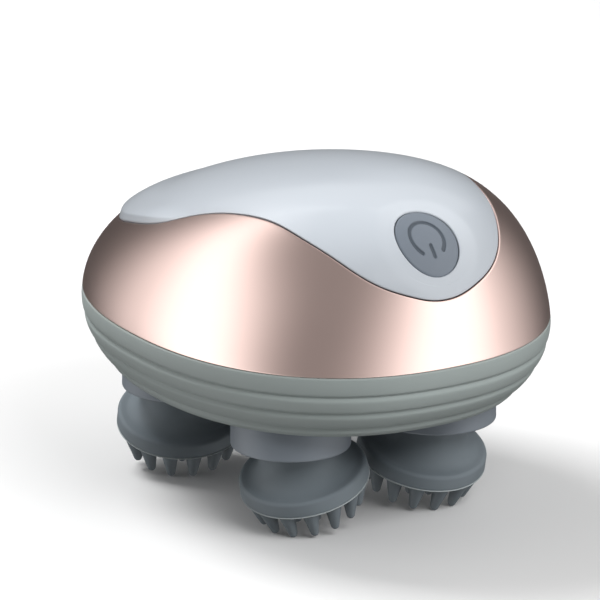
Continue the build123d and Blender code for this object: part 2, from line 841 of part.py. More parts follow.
def make_motor_cap():
    z = plate_top + motor_length
    cap = column(motor_x, 0, z, motor_radius * 0.82, motor_cap_height)
    length, width, height = terminal_size
    for side in (-1, 1):
        y = side * terminal_offset
        cap = cap + block(motor_x - length / 2, motor_x + length / 2, y - width / 2, y + width / 2,
                          z + motor_cap_height, z + motor_cap_height + height)
    return cap


def make_motor_shaft():
    z = idler_wheel_z - layer_gap / 4
    return column(motor_x, 0, z, motor_shaft_radius, plate_top + motor_length * 0.7 - z)


# ---------------------------------------------------------------- battery and charging face
battery_z = deck_top + battery_above_deck + battery_radius
cradle_foot_x = battery_x - cradle_half_length + cradle_foot_length / 2 + 0.5


def make_battery():
    place = Location((drive_x + battery_x, 0, battery_z), (90, 0, 0))
    cell = Cylinder(battery_radius, battery_length)
    cell = fillet(cell.edges().filter_by(GeomType.CIRCLE), 0.6)
    cap_z = battery_length / 2 + battery_cap_height / 2
    cap = Pos(0, 0, cap_z) * Cylinder(battery_cap_radius, battery_cap_height)
    return place * (cell + cap)


def make_battery_cradle():
    centre = drive_x + battery_x
    half_width = battery_length / 2 + fit_gap
    end = half_width + battery_cap_height + cradle_wall
    low = battery_z - battery_radius - cradle_wall / 2
    high = battery_z - cradle_lip / 2
    tray = block(centre - cradle_half_length, centre + cradle_half_length, -end, end, low, high)
    place = Location((centre, 0, battery_z), (90, 0, 0))
    tray = tray - place * Cylinder(battery_radius + fit_gap, 2 * half_width)
    tray = tray - place * Cylinder(battery_cap_radius + 1, 2 * (end - cradle_wall))
    foot_x = drive_x + cradle_foot_x
    foot = block(foot_x - cradle_foot_length / 2, foot_x + cradle_foot_length / 2,
                 -cradle_foot_half_width, cradle_foot_half_width, deck_top, low)
    tray = tray + foot
    for y in (-1, 1):
        tray = tray + column(foot_x, y * cradle_foot_half_width / 2, deck_z + fit_gap, peg_radius,
                             deck_thickness)
    return tray


def make_charge_pad():
    pad = charge_slab(0, charge_back, charge_face)
    pad = pad + charge_slab(charge_flange, charge_back, flange_front - fit_gap / 2)
    for side in (-1, 1):
        offset = side * contact_spacing / 2
        pad = pad - on_charge_axis(contact_radius, charge_back, charge_face, offset)
    return pad


def make_charge_contacts():
    pins = []
    for side in (-1, 1):
        offset = side * contact_spacing / 2
        pin = on_charge_axis(contact_radius, charge_back, charge_face, offset)
        tail = on_charge_axis(contact_radius / 2, charge_back - contact_tail, charge_back, offset)
        pins.append(pin + tail)
    return group(pins)


# ---------------------------------------------------------------- button, switch and board
def make_power_button():
    cap = oval(0, flange_top, button_half_length) & outer_dome
    cap = cap + oval(button_gap + button_flange, flange_end, flange_top, button_flange)
    standing = (Align.CENTER, Align.CENTER, Align.MIN)
    cap = cap + on_button_axis(Cylinder(stem_radius, stem_length, align=standing), plunger_top)
    ring_out = Ellipse(button_half_length * glyph_share + glyph_line / 2,
                       button_half_width * glyph_share + glyph_line / 2)
    ring_in = Ellipse(button_half_length * glyph_share - glyph_line / 2,
                      button_half_width * glyph_share - glyph_line / 2)
    reach = 2 * button_half_length
    spread = reach * math.tan(math.radians(glyph_gap_half_angle))
    wedge = make_face(Polyline((0, 0), (reach, spread), (reach, -spread), close=True))
    bar_start = button_half_length * glyph_share * 0.35
    bar_end = button_half_length * glyph_share * 1.15
    bar = Pos((bar_start + bar_end) / 2, 0) * Rectangle(bar_end - bar_start, glyph_line)
    glyph = (ring_out - ring_in - wedge) + bar
    cutter = button_plane.location * extrude(glyph, button_half_length)
    cutter = cutter - dome(glyph_depth)
    return cap - cutter


def make_button_gasket():
    outer = oval(button_gap + gasket_wall, well_end - gasket_height, well_end)
    return outer - oval(button_gap, well_end - gasket_height, well_end)


def on_button_axis(solid, depth, x=0.0, y=0.0):
    return button_plane.location * Pos(x, y, depth) * solid


def make_switch_body():
    half = (Align.CENTER, Align.CENTER, Align.MIN)
    body = Box(switch_size, switch_size, switch_height, align=half)
    hole_depth = plunger_top - plunger_length - button_travel - fit_gap - board_top
    hole = Pos(0, 0, hole_depth) * Cylinder(plunger_radius + running_gap, switch_height, align=half)
    return on_button_axis(body - hole, board_top)


def make_switch_plunger():
    half = (Align.CENTER, Align.CENTER, Align.MIN)
    return on_button_axis(Cylinder(plunger_radius, plunger_length, align=half), plunger_top - plunger_length)


def make_circuit_board():
    sketch = RectangleRounded(board_length, board_width, board_corner)
    board = extrude(sketch, board_thickness)
    for x, y in board_hole_places:
        board = board - Pos(x, y, 0) * Cylinder(small_screw_radius + fit_gap, 4 * board_thickness)
    return on_button_axis(board, board_top - board_thickness)


def make_board_components():
    """Motor driver, charging chip and capacitor under the board, status light on top."""
    under = (Align.CENTER, Align.CENTER, Align.MAX)
    over = (Align.CENTER, Align.CENTER, Align.MIN)
    depth = board_top - board_thickness
    return group([
        on_button_axis(Box(5.0, 4.0, 1.5, align=under), depth, -1.0, 4.0),
        on_button_axis(Box(4.0, 4.0, 1.1, align=under), depth, -1.0, -4.5),
        on_button_axis(Cylinder(2.0, 4.0, align=under), depth, 5.0, 0.0),
        on_button_axis(Box(1.6, 0.8, 0.7, align=over), board_top, 5.5, 0.0),
    ])


def lead(points, bend):
    """A round insulated wire along straight runs joined by arcs."""
    edges = []
    here = points[0]
    for before, corner, after in zip(points, points[1:], points[2:]):
        arriving = (corner - before).normalized()
        leaving = (after - corner).normalized()
        turn = math.radians(arriving.get_angle(leaving))
        run = min((corner - before).length, (after - corner).length)
        cut = min(bend * math.tan(turn / 2), 0.45 * run)
        first = corner - arriving * cut
        second = corner + leaving * cut
        edges.append(Edge.make_line(here, first))
        edges.append(Edge.make_tangent_arc(first, arriving, second))
        here = second
    edges.append(Edge.make_line(here, points[-1]))
    path = Wire(edges)
    section = Plane(origin=path @ 0, z_dir=path % 0) * Circle(wire_radius)
    return sweep(section, path=path)


def board_pad(x, y):
    """A point on the underside of the board, in the part's frame."""
    place = button_plane.location * Location((x, y, board_top - board_thickness))
    return place.position


def make_motor_leads():
    leads = []
    top = plate_top + motor_length + motor_cap_height
    for side in (-1, 1):
        start = Vector(motor_x + terminal_size[0] / 2, side * terminal_offset, top + 1.5)
        end = board_pad(-8.0, side * 3.0)
        way = [
            start,
            start + Vector(4, 0, 0),
            start + Vector(14, 0, 1.5),
            end + Vector(-6, side, -2),
            end - button_normal * 3,
            end,
        ]
        leads.append(lead(way, 2.0))
    return group(leads)


def make_supply_leads():
    """Battery leads along the sides and charging leads over the battery."""
    leads = []
    cell_x = drive_x + battery_x
    cell_end = battery_length / 2 + battery_cap_height
    over = battery_z + battery_radius + 2
    for side in (-1, 1):
        end = board_pad(-5.0, side * 8.0)
        way = [
            Vector(cell_x, side * cell_end, battery_z + 1.5),
            Vector(cell_x, side * (cell_end + 4), battery_z + 1.5),
            Vector(cell_x + 12, side * (cell_end + 3), battery_z + 5),
            Vector(motor_x + 6, side * 24, battery_z + 6),
            Vector(motor_x + 22, side * 15, battery_z + 5),
            end - button_normal * 4,
            end,
        ]
        leads.append(lead(way, 2.5))
    for side in (-1, 1):
        tail = charge_plane.location * Location((side * contact_spacing / 2, 0, charge_back - contact_tail))
        start = tail.position
        end = board_pad(-2.5, side * 11.0)
        way = [
            start,
            start - Vector(*charge_plane.z_dir) * 1.5,
            Vector(cell_x - 10, side * 4, over - 4),
            Vector(cell_x, side * 6, over),
            Vector(cell_x + 13, side * 10, over),
            Vector(motor_x, side * (motor_radius + 2.5), over),
            Vector(motor_x + 18, side * (motor_radius + 1.5), over - 2),
            end - button_normal * 4,
            end,
        ]
        leads.append(lead(way, 2.0))
    return group(leads)


# ---------------------------------------------------------------- fasteners and bearings
def make_crank_bearings():
    bushes = []
    for x, y in head_places.values():
        outer = shaft_radius + bearing_wall
        inner = shaft_radius + running_gap
        bushes.append(tube(x, y, floor_top, outer, inner, boss_height))
        bushes.append(tube(x, y, deck_z, outer, inner, deck_thickness))
    return group(bushes)


def make_crank_seals():
    seals = []
    for x, y in head_places.values():
        seals.append(tube(x, y, floor_top - fit_gap - seal_height, shaft_radius + seal_wall,
                          shaft_radius + running_gap, seal_height))
    return group(seals)


def make_case_screws():
    screws = []
    length = seam_z + case_screw_grip - base_z - case_head_height - 1
    for x, y in case_screw_places:
        place = Location((drive_x + x, y, base_z + case_head_height + 1), (180, 0, 0))
        screws.append(screw(place, length, case_screw_radius, case_head_radius, case_head_height))
    return group(screws)


def small_screw(place):
    return screw(place, small_screw_grip, small_screw_radius, small_head_radius, small_head_height)


def make_gearbox_screws():
    screws = []
    posts = ((rear_post_x, 0), (front_post_x, 0), (0, side_post_y), (0, -side_post_y))
    for x, y in posts:
        place = Location((drive_x + x, y, deck_top))
        screws.append(small_screw(place))
    for x, y in plate_post_places:
        for side in (-1, 1):
            place = Location((drive_x + x, side * y, plate_top))
            screws.append(small_screw(place))
    for side in (-1, 1):
        place = Location((motor_x, side * motor_screw_offset, plate_z), (180, 0, 0))
        screws.append(screw(place, small_screw_grip - 1, small_screw_radius, small_head_radius,
                            layer_gap * 0.8))
    return group(screws)


def make_board_screws():
    screws = []
    for x, y in board_hole_places:
        place = button_plane.location * Location((x, y, board_top - board_thickness), (180, 0, 0))
        screws.append(small_screw(place))
    return group(screws)


def make_case_gasket():
    seat_z = seam_z + (rim_height - gasket_thickness) / 2
    inner = cover_wall + rim_gap + gasket_width
    return seam_ring(cover_wall + gasket_squeeze, inner, seat_z, gasket_thickness)


# ---------------------------------------------------------------- all nodes
nodes["top_cover"] = make_top_cover()
nodes["side_band"] = make_side_band()
nodes["base_skirt"] = make_skirt()
nodes["lower_case"] = make_lower_case()
nodes["case_gasket"] = make_case_gasket()
nodes["case_screws"] = make_case_screws()
nodes["power_button"] = make_power_button()
nodes["button_gasket"] = make_button_gasket()
nodes["switch_body"] = make_switch_body()
nodes["switch_plunger"] = make_switch_plunger()
nodes["circuit_board"] = make_circuit_board()
nodes["board_components"] = make_board_components()
nodes["motor_leads"] = make_motor_leads()
nodes["supply_leads"] = make_supply_leads()
nodes["board_screws"] = make_board_screws()
nodes["charge_pad"] = make_charge_pad()
nodes["charge_contacts"] = make_charge_contacts()
nodes["battery_cell"] = make_battery()
nodes["battery_cradle"] = make_battery_cradle()
nodes["gear_deck"] = make_gear_deck()
nodes["motor_plate"] = make_motor_plate()
nodes["gearbox_screws"] = make_gearbox_screws()
nodes["motor_can"] = make_motor_can()
nodes["motor_cap"] = make_motor_cap()
nodes["motor_shaft"] = make_motor_shaft()
nodes["motor_pinion"] = make_motor_pinion()
nodes["drive_gear"] = make_drive_gear()
nodes["drive_axle"] = column(drive_x, 0, floor_top, axle_radius, plate_top - floor_top)
nodes["idler_gear"] = make_idler_gear()
nodes["idler_axle"] = column(idler_x, 0, deck_z, idler_axle_radius, plate_top - deck_z)
nodes["crank_bearings"] = make_crank_bearings()
nodes["crank_seals"] = make_crank_seals()
cup = build_cup()
pad = build_pad()
for head, (x, y) in head_places.items():
    nodes["collar_" + head] = make_collar(x, y)
    nodes["crank_" + head] = make_crank(head)
    nodes["head_gear_" + head] = make_head_gear(head)
    nodes["head_screw_" + head] = make_head_screw(head)
    nodes["head_bush_" + head] = make_head_bush(head)
    nodes["head_cup_" + head] = head_frame(head) * cup
    nodes["finger_pad_" + head] = head_frame(head) * pad

for name, shape in nodes.items():
    export_step(shape, os.path.join("parts", name + ".step"))
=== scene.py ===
"""Electric scalp massager: finished pieces, materials, floor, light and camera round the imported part.

Lengths are in millimetres in the shape code and become metres when a mesh is made.
"""

import json
import math

import bmesh
import bpy
import numpy as np
from mathutils import Matrix, Vector


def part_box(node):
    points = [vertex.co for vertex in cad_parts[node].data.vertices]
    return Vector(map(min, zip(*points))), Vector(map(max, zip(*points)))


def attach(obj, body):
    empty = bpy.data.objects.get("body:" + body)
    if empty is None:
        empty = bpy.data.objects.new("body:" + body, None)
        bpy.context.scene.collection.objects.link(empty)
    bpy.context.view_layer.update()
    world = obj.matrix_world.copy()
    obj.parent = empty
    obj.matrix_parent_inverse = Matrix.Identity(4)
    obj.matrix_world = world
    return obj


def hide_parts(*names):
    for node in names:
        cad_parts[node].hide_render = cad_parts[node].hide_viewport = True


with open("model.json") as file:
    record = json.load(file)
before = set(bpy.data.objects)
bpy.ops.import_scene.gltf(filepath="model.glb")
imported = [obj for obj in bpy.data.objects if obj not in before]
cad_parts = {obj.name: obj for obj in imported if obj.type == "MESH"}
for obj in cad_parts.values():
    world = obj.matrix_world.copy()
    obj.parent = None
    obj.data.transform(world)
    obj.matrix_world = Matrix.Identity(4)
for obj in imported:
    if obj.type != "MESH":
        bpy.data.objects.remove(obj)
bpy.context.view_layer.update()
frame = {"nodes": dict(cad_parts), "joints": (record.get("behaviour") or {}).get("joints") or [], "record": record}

MM = 0.001

# ------------------------------------------------------------------ housing, as the solids have it
SEAM_HALF_LENGTH = 57.0
SEAM_HALF_WIDTH = 47.35
SEAM_EXPONENT = 2.25
CROWN_EXPONENT = 1.94
DOME_HEIGHT = 34.8
DOME_LEAN = 21.6
LENGTH_POWER, LENGTH_ROOT = 2.23, 1.95
WIDTH_POWER, WIDTH_ROOT = 1.68, 2.6
SKIRT_HEIGHT = 16.8
SKIRT_INSET_LENGTH, SKIRT_INSET_WIDTH, SKIRT_CURVE, SKIRT_SHIFT = 9.0, 7.4, 2.3, 1.0
CREASE_LEVELS = (0.30, 0.57, 0.85)
COVER_EDGE = (
    (-66.0, 13.3), (-50.0, 13.8), (-34.0, 14.8), (-21.6, 17.7), (-12.8, 19.9), (-5.0, 22.4), (2.0, 25.3),
    (11.0, 28.0), (18.5, 29.2), (26.0, 29.4), (35.5, 27.8), (42.8, 25.4), (49.0, 22.0),
    (53.0, 19.1), (55.2, 17.1), (57.0, 14.3), (62.0, 6.1),
)

skirt_low, skirt_high = (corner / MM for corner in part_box("base_skirt"))
BASE_Z = skirt_low.z
SEAM_Z = skirt_high.z


def lean_at(level):
    """How far the dome's middle has moved forwards at a level, 0 at the seam and 1 at the crown."""
    return DOME_LEAN * level ** 2


def length_at(level):
    """Half the dome's length at a level."""
    return SEAM_HALF_LENGTH * (1 - level ** LENGTH_POWER) ** (1 / LENGTH_ROOT)


def width_at(level):
    """Half the dome's width at a level."""
    return SEAM_HALF_WIDTH * (1 - level ** WIDTH_POWER) ** (1 / WIDTH_ROOT)


levels = np.linspace(0, 0.995, 200)
SEAM_X = -((lean_at(levels) + length_at(levels)).max() + (lean_at(levels) - length_at(levels)).min()) / 2


def outline(angle, half_length, half_width, exponent):
    """Points of a rounded oval about its middle, one for each angle."""
    c, s = np.cos(angle), np.sin(angle)
    reach = (np.abs(c) ** exponent + np.abs(s) ** exponent) ** (-1 / exponent)
    return half_length * reach * c, half_width * reach * s


def dome_point(angle, level):
    """Point on the housing above the seam."""
    exponent = SEAM_EXPONENT + (CROWN_EXPONENT - SEAM_EXPONENT) * level
    x, y = outline(angle, length_at(level), width_at(level), exponent)
    return np.stack([SEAM_X + lean_at(level) + x, y, SEAM_Z + DOME_HEIGHT * level + 0 * x], -1)


def outside_dome(points):
    """Positive outside the dome, negative inside."""
    level = (points[..., 2] - SEAM_Z) / DOME_HEIGHT
    inside = np.clip(level, 0, 1 - 1e-9)
    exponent = SEAM_EXPONENT + (CROWN_EXPONENT - SEAM_EXPONENT) * inside
    x = np.abs(points[..., 0] - SEAM_X - lean_at(inside)) / length_at(inside)
    y = np.abs(points[..., 1]) / width_at(inside)
    return np.where(level >= 1, 1.0, x ** exponent + y ** exponent - 1)


SEARCH_FROM, SEARCH_TO, SEARCH_STEP = 110.0, -45.0, 0.5
HALVINGS = 40


def drop_onto_dome(points, direction):
    """Slide points along a direction, from well outside, until they meet the dome."""
    direction = np.asarray(direction, float)
    high = np.full(points.shape[:-1], SEARCH_FROM)
    low = high.copy()
    found = np.zeros(points.shape[:-1], bool)
    for step in np.arange(SEARCH_FROM - SEARCH_STEP, SEARCH_TO, -SEARCH_STEP):
        inside = outside_dome(points + step * direction) < 0
        fresh = inside & ~found
        low = np.where(fresh, step, low)
        high = np.where(fresh, step + SEARCH_STEP, high)
        found |= inside
    for _ in range(HALVINGS):
        middle = (low + high) / 2
        inside = outside_dome(points + middle[..., None] * direction) < 0
        low = np.where(inside, middle, low)
        high = np.where(inside, high, middle)
    return points + low[..., None] * direction


def natural_spline(knots):
    """Smooth curve through (x, height) knots, as a lookup table."""
    x, y = np.array(knots).T
    chord = np.concatenate([[0], np.cumsum(np.hypot(np.diff(x), np.diff(y)))])

    def second_derivatives(values):
        n = len(chord)
        matrix = np.eye(n)
        right = np.zeros(n)
        for i in range(1, n - 1):
            before, after = chord[i] - chord[i - 1], chord[i + 1] - chord[i]
            matrix[i, i - 1:i + 2] = before, 2 * (before + after), after
            right[i] = 6 * ((values[i + 1] - values[i]) / after - (values[i] - values[i - 1]) / before)
        return np.linalg.solve(matrix, right)

    fine = np.linspace(0, chord[-1], 1200)
    place = np.clip(np.searchsorted(chord, fine) - 1, 0, len(chord) - 2)
    span = chord[place + 1] - chord[place]
    a, b = (chord[place + 1] - fine) / span, (fine - chord[place]) / span
    out = []
    for values in (x, y):
        bend = second_derivatives(values)
        out.append(a * values[place] + b * values[place + 1]
                   + ((a ** 3 - a) * bend[place] + (b ** 3 - b) * bend[place + 1]) * span ** 2 / 6)
    return out


edge_x, edge_height = natural_spline(COVER_EDGE)


def edge_level(angle):
    """Dome level at which the cover's edge crosses each meridian."""
    low, high = np.full(angle.shape, 0.2), np.full(angle.shape, 0.97)
    for _ in range(HALVINGS):
        middle = (low + high) / 2
        point = dome_point(angle, middle)
        above = point[..., 2] - SEAM_Z > np.interp(point[..., 0] - SEAM_X, edge_x, edge_height)
        high = np.where(above, middle, high)
        low = np.where(above, low, middle)
    return (low + high) / 2


def smoothstep(value):
    """Soft step from 0 to 1."""
    value = np.clip(value, 0, 1)
    return value * value * (3 - 2 * value)


# ------------------------------------------------------------------ meshes
MERGE_DISTANCE = 2e-7


def grid_normals(points):
    """Unit normals of a grid whose columns close on themselves."""
    across = np.roll(points, -1, 1) - np.roll(points, 1, 1)
    along = np.gradient(points, axis=0)
    normal = np.cross(across, along)
    return normal / np.maximum(np.linalg.norm(normal, axis=-1, keepdims=True), 1e-12)


def piece_from(name, vertices, faces, sharp_angle=40.0, matrix=None):
    """Mesh object in metres, its faces outwards and its shading smooth up to an angle."""
    mesh = bpy.data.meshes.new(name)
    mesh.from_pydata([tuple(v) for v in np.asarray(vertices) * MM], [], faces)
    build = bmesh.new()
    build.from_mesh(mesh)
    bmesh.ops.remove_doubles(build, verts=build.verts, dist=MERGE_DISTANCE)
    bmesh.ops.recalc_face_normals(build, faces=build.faces)
    build.to_mesh(mesh)
    build.free()
    if matrix is not None:
        mesh.transform(matrix)
    mesh.polygons.foreach_set("use_smooth", [True] * len(mesh.polygons))
    mesh.set_sharp_from_angle(angle=math.radians(sharp_angle))
    mesh.update()
    piece = bpy.data.objects.new(name, mesh)
    bpy.context.scene.collection.objects.link(piece)
    return piece


def grid_faces(rows, columns, ring):
    """Quads of a grid with closed columns; ring joins the last row to the first."""
    faces = []
    for r in range(rows if ring else rows - 1):
        below = (r + 1) % rows
        for c in range(columns):
            right = (c + 1) % columns
            faces.append((r * columns + c, r * columns + right, below * columns + right, below * columns + c))
    return faces


def ring_piece(name, rows, **options):
    """Closed skin from rows of points that go once round the wall."""
    grid = np.stack(rows)
    count, columns = grid.shape[:2]
    return piece_from(name, grid.reshape(-1, 3), grid_faces(count, columns, True), **options)


def soft_profile(corners, closed=False, steps=6):
    """Outline through (radius, height, rounding) corners with each corner rounded."""
    out = []
    count = len(corners)
    for i, (x, y, rounding) in enumerate(corners):
        here = np.array((x, y))
        if rounding == 0 or (not closed and i in (0, count - 1)):
            out.append(here)
            continue
        before = np.array(corners[i - 1][:2]) - here
        after = np.array(corners[(i + 1) % count][:2]) - here
        before, after = before / np.linalg.norm(before), after / np.linalg.norm(after)
        half = math.acos(float(np.clip(before @ after, -1, 1))) / 2
        cut = rounding / math.tan(half)
        middle = here + (before + after) / np.linalg.norm(before + after) * rounding / math.sin(half)
        first, last = here + before * cut - middle, here + after * cut - middle
        turn = math.acos(float(np.clip(first @ last / rounding ** 2, -1, 1)))
        for k in range(steps + 1):
            share = k / steps
            out.append(middle + (math.sin((1 - share) * turn) * first + math.sin(share * turn) * last)
                       / math.sin(turn))
    return out


def turned_piece(name, profile, segments=96, closed=False, **options):
    """Piece turned about Z from a (radius, height) profile."""
    angle = np.arange(segments) * 2 * math.pi / segments
    grid = np.array([[(r * math.cos(a), r * math.sin(a), z) for a in angle] for r, z in profile])
    faces = grid_faces(len(profile), segments, closed)
    return piece_from(name, grid.reshape(-1, 3), faces, **options)


# ------------------------------------------------------------------ finishes
def srgb(*values):
    """Linear colour from 0-255 screen values."""
    out = []
    for value in values:
        share = value / 255
        out.append(share / 12.92 if share <= 0.04045 else ((share + 0.055) / 1.055) ** 2.4)
    return (*out, 1.0)


class Finish:
    """A material built from nodes on Object coordinates."""

    def __init__(self, name, roughness, metallic=0.0, **sockets):
        self.material = bpy.data.materials.new(name)
        self.material.use_nodes = True
        self.nodes = self.material.node_tree.nodes
        self.links = self.material.node_tree.links
        self.shader = self.nodes["Principled BSDF"]
        self.shader.inputs["Roughness"].default_value = roughness
        self.shader.inputs["Metallic"].default_value = metallic
        for socket, value in sockets.items():
            self.shader.inputs[socket.replace("_", " ")].default_value = value
        self.place = self.nodes.new("ShaderNodeTexCoord").outputs["Object"]

    def noise(self, scale, detail=2.0, stretch=None):
        """Noise with features 1/scale metres wide, stretched if asked."""
        place = self.place
        if stretch:
            mapping = self.nodes.new("ShaderNodeMapping")
            mapping.inputs["Scale"].default_value = stretch
            self.links.new(self.place, mapping.inputs["Vector"])
            place = mapping.outputs["Vector"]
        texture = self.nodes.new("ShaderNodeTexNoise")
        texture.inputs["Scale"].default_value = scale
        texture.inputs["Detail"].default_value = detail
        self.links.new(place, texture.inputs["Vector"])
        return texture.outputs["Fac"]

    def ramp(self, factor, stops):
        """Colour picked from (place, colour) stops by a factor."""
        ramp = self.nodes.new("ShaderNodeValToRGB")
        elements = ramp.color_ramp.elements
        while len(elements) < len(stops):
            elements.new(0.5)
        for element, (place, colour) in zip(elements, stops):
            element.position = place
            element.color = colour
        self.links.new(factor, ramp.inputs["Fac"])
        return ramp.outputs["Color"]

    def mix(self, factor, first, second):
        """Blend of two colours, each a value or a socket."""
        mix = self.nodes.new("ShaderNodeMix")
        mix.data_type = "RGBA"
        self.links.new(factor, mix.inputs["Factor"])
        for socket, value in (("A", first), ("B", second)):
            target = [s for s in mix.inputs if s.name == socket and s.type == "RGBA"][0]
            if isinstance(value, bpy.types.NodeSocket):
                self.links.new(value, target)
            else:
                target.default_value = value
        return [s for s in mix.outputs if s.type == "RGBA"][0]

    def colour(self, value):
        """Base colour from a socket."""
        self.links.new(value, self.shader.inputs["Base Color"])

    def rough(self, factor, low, high):
        """Roughness that varies with a factor."""
        spread = self.nodes.new("ShaderNodeMapRange")
        spread.inputs["To Min"].default_value = low
        spread.inputs["To Max"].default_value = high
        self.links.new(factor, spread.inputs["Value"])
        self.links.new(spread.outputs["Result"], self.shader.inputs["Roughness"])

    def bump(self, height, strength, distance):
        """Fine surface relief, distance in metres."""
        bump = self.nodes.new("ShaderNodeBump")
        bump.inputs["Strength"].default_value = strength
        bump.inputs["Distance"].default_value = distance
        self.links.new(height, bump.inputs["Height"])
        self.links.new(bump.outputs["Normal"], self.shader.inputs["Normal"])


def maths_in(tree):
    """Function that adds a Math node to a tree, fed by numbers and sockets, and gives its output."""
    def math_node(operation, *values):
        node = tree.nodes.new("ShaderNodeMath")
        node.operation = operation
        for socket, value in zip(node.inputs, values):
            if isinstance(value, (int, float)):
                socket.default_value = value
            else:
                tree.links.new(value, socket)
        return node.outputs[0]

    return math_node


def tinted(finish, base, spread, scale, detail=3.0):
    """Slow colour variation about a base colour."""
    dark = tuple(c * (1 - spread) for c in base[:3]) + (1.0,)
    light = tuple(min(1.0, c * (1 + spread)) for c in base[:3]) + (1.0,)
    finish.colour(finish.ramp(finish.noise(scale, detail), [(0.3, dark), (0.7, light)]))


finishes = {}


def add_finish(slot, base, roughness, spread=0.05, scale=60.0, grain=None, metallic=0.0, **sockets):
    """Finish of a material slot; grain is the (scale, strength, depth) of its relief."""
    finish = Finish(slot, roughness, metallic, **sockets)
    tinted(finish, base, spread, scale)
    if grain:
        grain_scale, strength, depth = grain
        finish.bump(finish.noise(grain_scale, 2.0), strength, depth)
    finishes[slot] = finish
    return finish


cover = add_finish("cover_gloss", srgb(188, 194, 201), 0.30, 0.025, 25.0, Coat_Weight=0.5, Coat_Roughness=0.12)
cover.rough(cover.noise(900.0, 2.0), 0.27, 0.33)
cover.bump(cover.noise(2500.0, 1.0), 0.02, 0.00002)

band = add_finish("band_metallic", srgb(236, 209, 201), 0.30, 0.02, 30.0, metallic=1.0)
band.rough(band.noise(1500.0, 2.0), 0.27, 0.33)
band.bump(band.noise(4000.0, 1.0), 0.03, 0.00001)

add_finish("skirt_silicone", srgb(160, 169, 167), 0.50, 0.03, 45.0, (3000.0, 0.12, 0.00003),
           Specular_IOR_Level=0.45)
add_finish("case_plastic", srgb(128, 132, 140), 0.50, 0.03, 60.0, (2500.0, 0.15, 0.00003))
add_finish("collar_plastic", srgb(133, 141, 150), 0.42, 0.02, 60.0, (3500.0, 0.08, 0.00002))
rubber = add_finish("head_rubber", srgb(118, 127, 133), 0.55, 0.04, 90.0, (4000.0, 0.12, 0.00002),
                    Specular_IOR_Level=0.35)
# Painted highlight: where the "pale" attribute marks the pads' flash rim, the rubber is coloured paler.
highlight_paint = rubber.nodes.new("ShaderNodeAttribute")
highlight_paint.attribute_name = "pale"
rubber.colour(rubber.mix(highlight_paint.outputs["Fac"], rubber.shader.inputs["Base Color"].links[0].from_socket,
                         srgb(176, 184, 186)))
add_finish("seal_rubber", srgb(28, 28, 29), 0.70, 0.10, 200.0, (3000.0, 0.2, 0.00003))
add_finish("screw_steel", srgb(176, 178, 182), 0.32, 0.08, 900.0, (5000.0, 0.1, 0.00001), metallic=1.0)
add_finish("shaft_steel", srgb(188, 190, 194), 0.22, 0.05, 700.0, metallic=1.0)
add_finish("motor_steel", srgb(180, 181, 183), 0.30, 0.06, 300.0, (3000.0, 0.1, 0.00001), metallic=1.0)
add_finish("motor_plastic", srgb(232, 232, 228), 0.45, 0.03, 200.0, (3000.0, 0.1, 0.00002))
add_finish("gear_acetal", srgb(238, 236, 230), 0.38, 0.03, 150.0, (2500.0, 0.1, 0.00002))
add_finish("bearing_bronze", srgb(176, 130, 78), 0.40, 0.15, 1500.0, (4000.0, 0.3, 0.00002), metallic=0.9)
add_finish("board_laminate", srgb(20, 92, 56), 0.35, 0.12, 500.0, (1500.0, 0.1, 0.00002), Coat_Weight=0.4)
add_finish("component_black", srgb(30, 31, 33), 0.40, 0.10, 400.0, (3000.0, 0.2, 0.00002))
add_finish("cell_wrap", srgb(52, 108, 168), 0.30, 0.05, 120.0, (600.0, 0.1, 0.00005), Coat_Weight=0.5)
add_finish("contact_brass", srgb(222, 184, 104), 0.22, 0.06, 900.0, (5000.0, 0.1, 0.00001), metallic=1.0)
add_finish("lead_insulation", srgb(150, 36, 34), 0.45, 0.06, 300.0, (2000.0, 0.1, 0.00002))

button = Finish("button_plastic", 0.42)
worn = button.ramp(button.noise(80.0, 3.0), [(0.3, srgb(108, 116, 126)), (0.7, srgb(115, 123, 133))])
# Painted shade: where the "engraved" attribute marks the power mark's grooves, the face is coloured darker.
engraved = button.nodes.new("ShaderNodeAttribute")
engraved.attribute_name = "engraved"
button.colour(button.mix(engraved.outputs["Fac"], worn, srgb(72, 80, 89)))
button.bump(button.noise(3500.0, 1.0), 0.08, 0.00002)
finishes["button_plastic"] = button


def dress(piece, body, slot, *nodes):
    """Material, body, slot and replaced nodes of a finished piece."""
    piece.data.materials.clear()
    piece.data.materials.append(finishes[slot].material)
    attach(piece, body)
    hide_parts(*nodes)
    return piece


for part in frame["record"]["subparts"]:
    node = frame["nodes"][part["node"]]
    material = finishes[part["material_slot"]].material
    if not node.material_slots:
        node.data.materials.append(material)
    for place in node.material_slots:
        place.material = material

# ------------------------------------------------------------------ button place
BUTTON_LEVEL = 0.80
BUTTON_HALF_LENGTH, BUTTON_HALF_WIDTH = 8.6, 7.1
BUTTON_GAP = 0.32
DISH_DEPTH, DISH_WIDTH = 0.45, 5.0
BUTTON_SINK = 0.15
step = 0.001
slope = (lean_at(BUTTON_LEVEL + step) + length_at(BUTTON_LEVEL + step)
         - lean_at(BUTTON_LEVEL - step) - length_at(BUTTON_LEVEL - step)) / (2 * step)
button_tilt = math.atan2(DOME_HEIGHT, -slope)
button_normal = np.array((math.sin(button_tilt), 0, math.cos(button_tilt)))
button_along = np.array((math.cos(button_tilt), 0, -math.sin(button_tilt)))
button_across = np.array((0.0, 1.0, 0.0))
button_middle = np.array((SEAM_X + lean_at(BUTTON_LEVEL) + length_at(BUTTON_LEVEL), 0,
                          SEAM_Z + DOME_HEIGHT * BUTTON_LEVEL))


def button_surface(along, across):
    """Dome point straight out from a place in the button's plane."""
    flat = button_middle + along[..., None] * button_along + across[..., None] * button_across
    return drop_onto_dome(flat, button_normal)


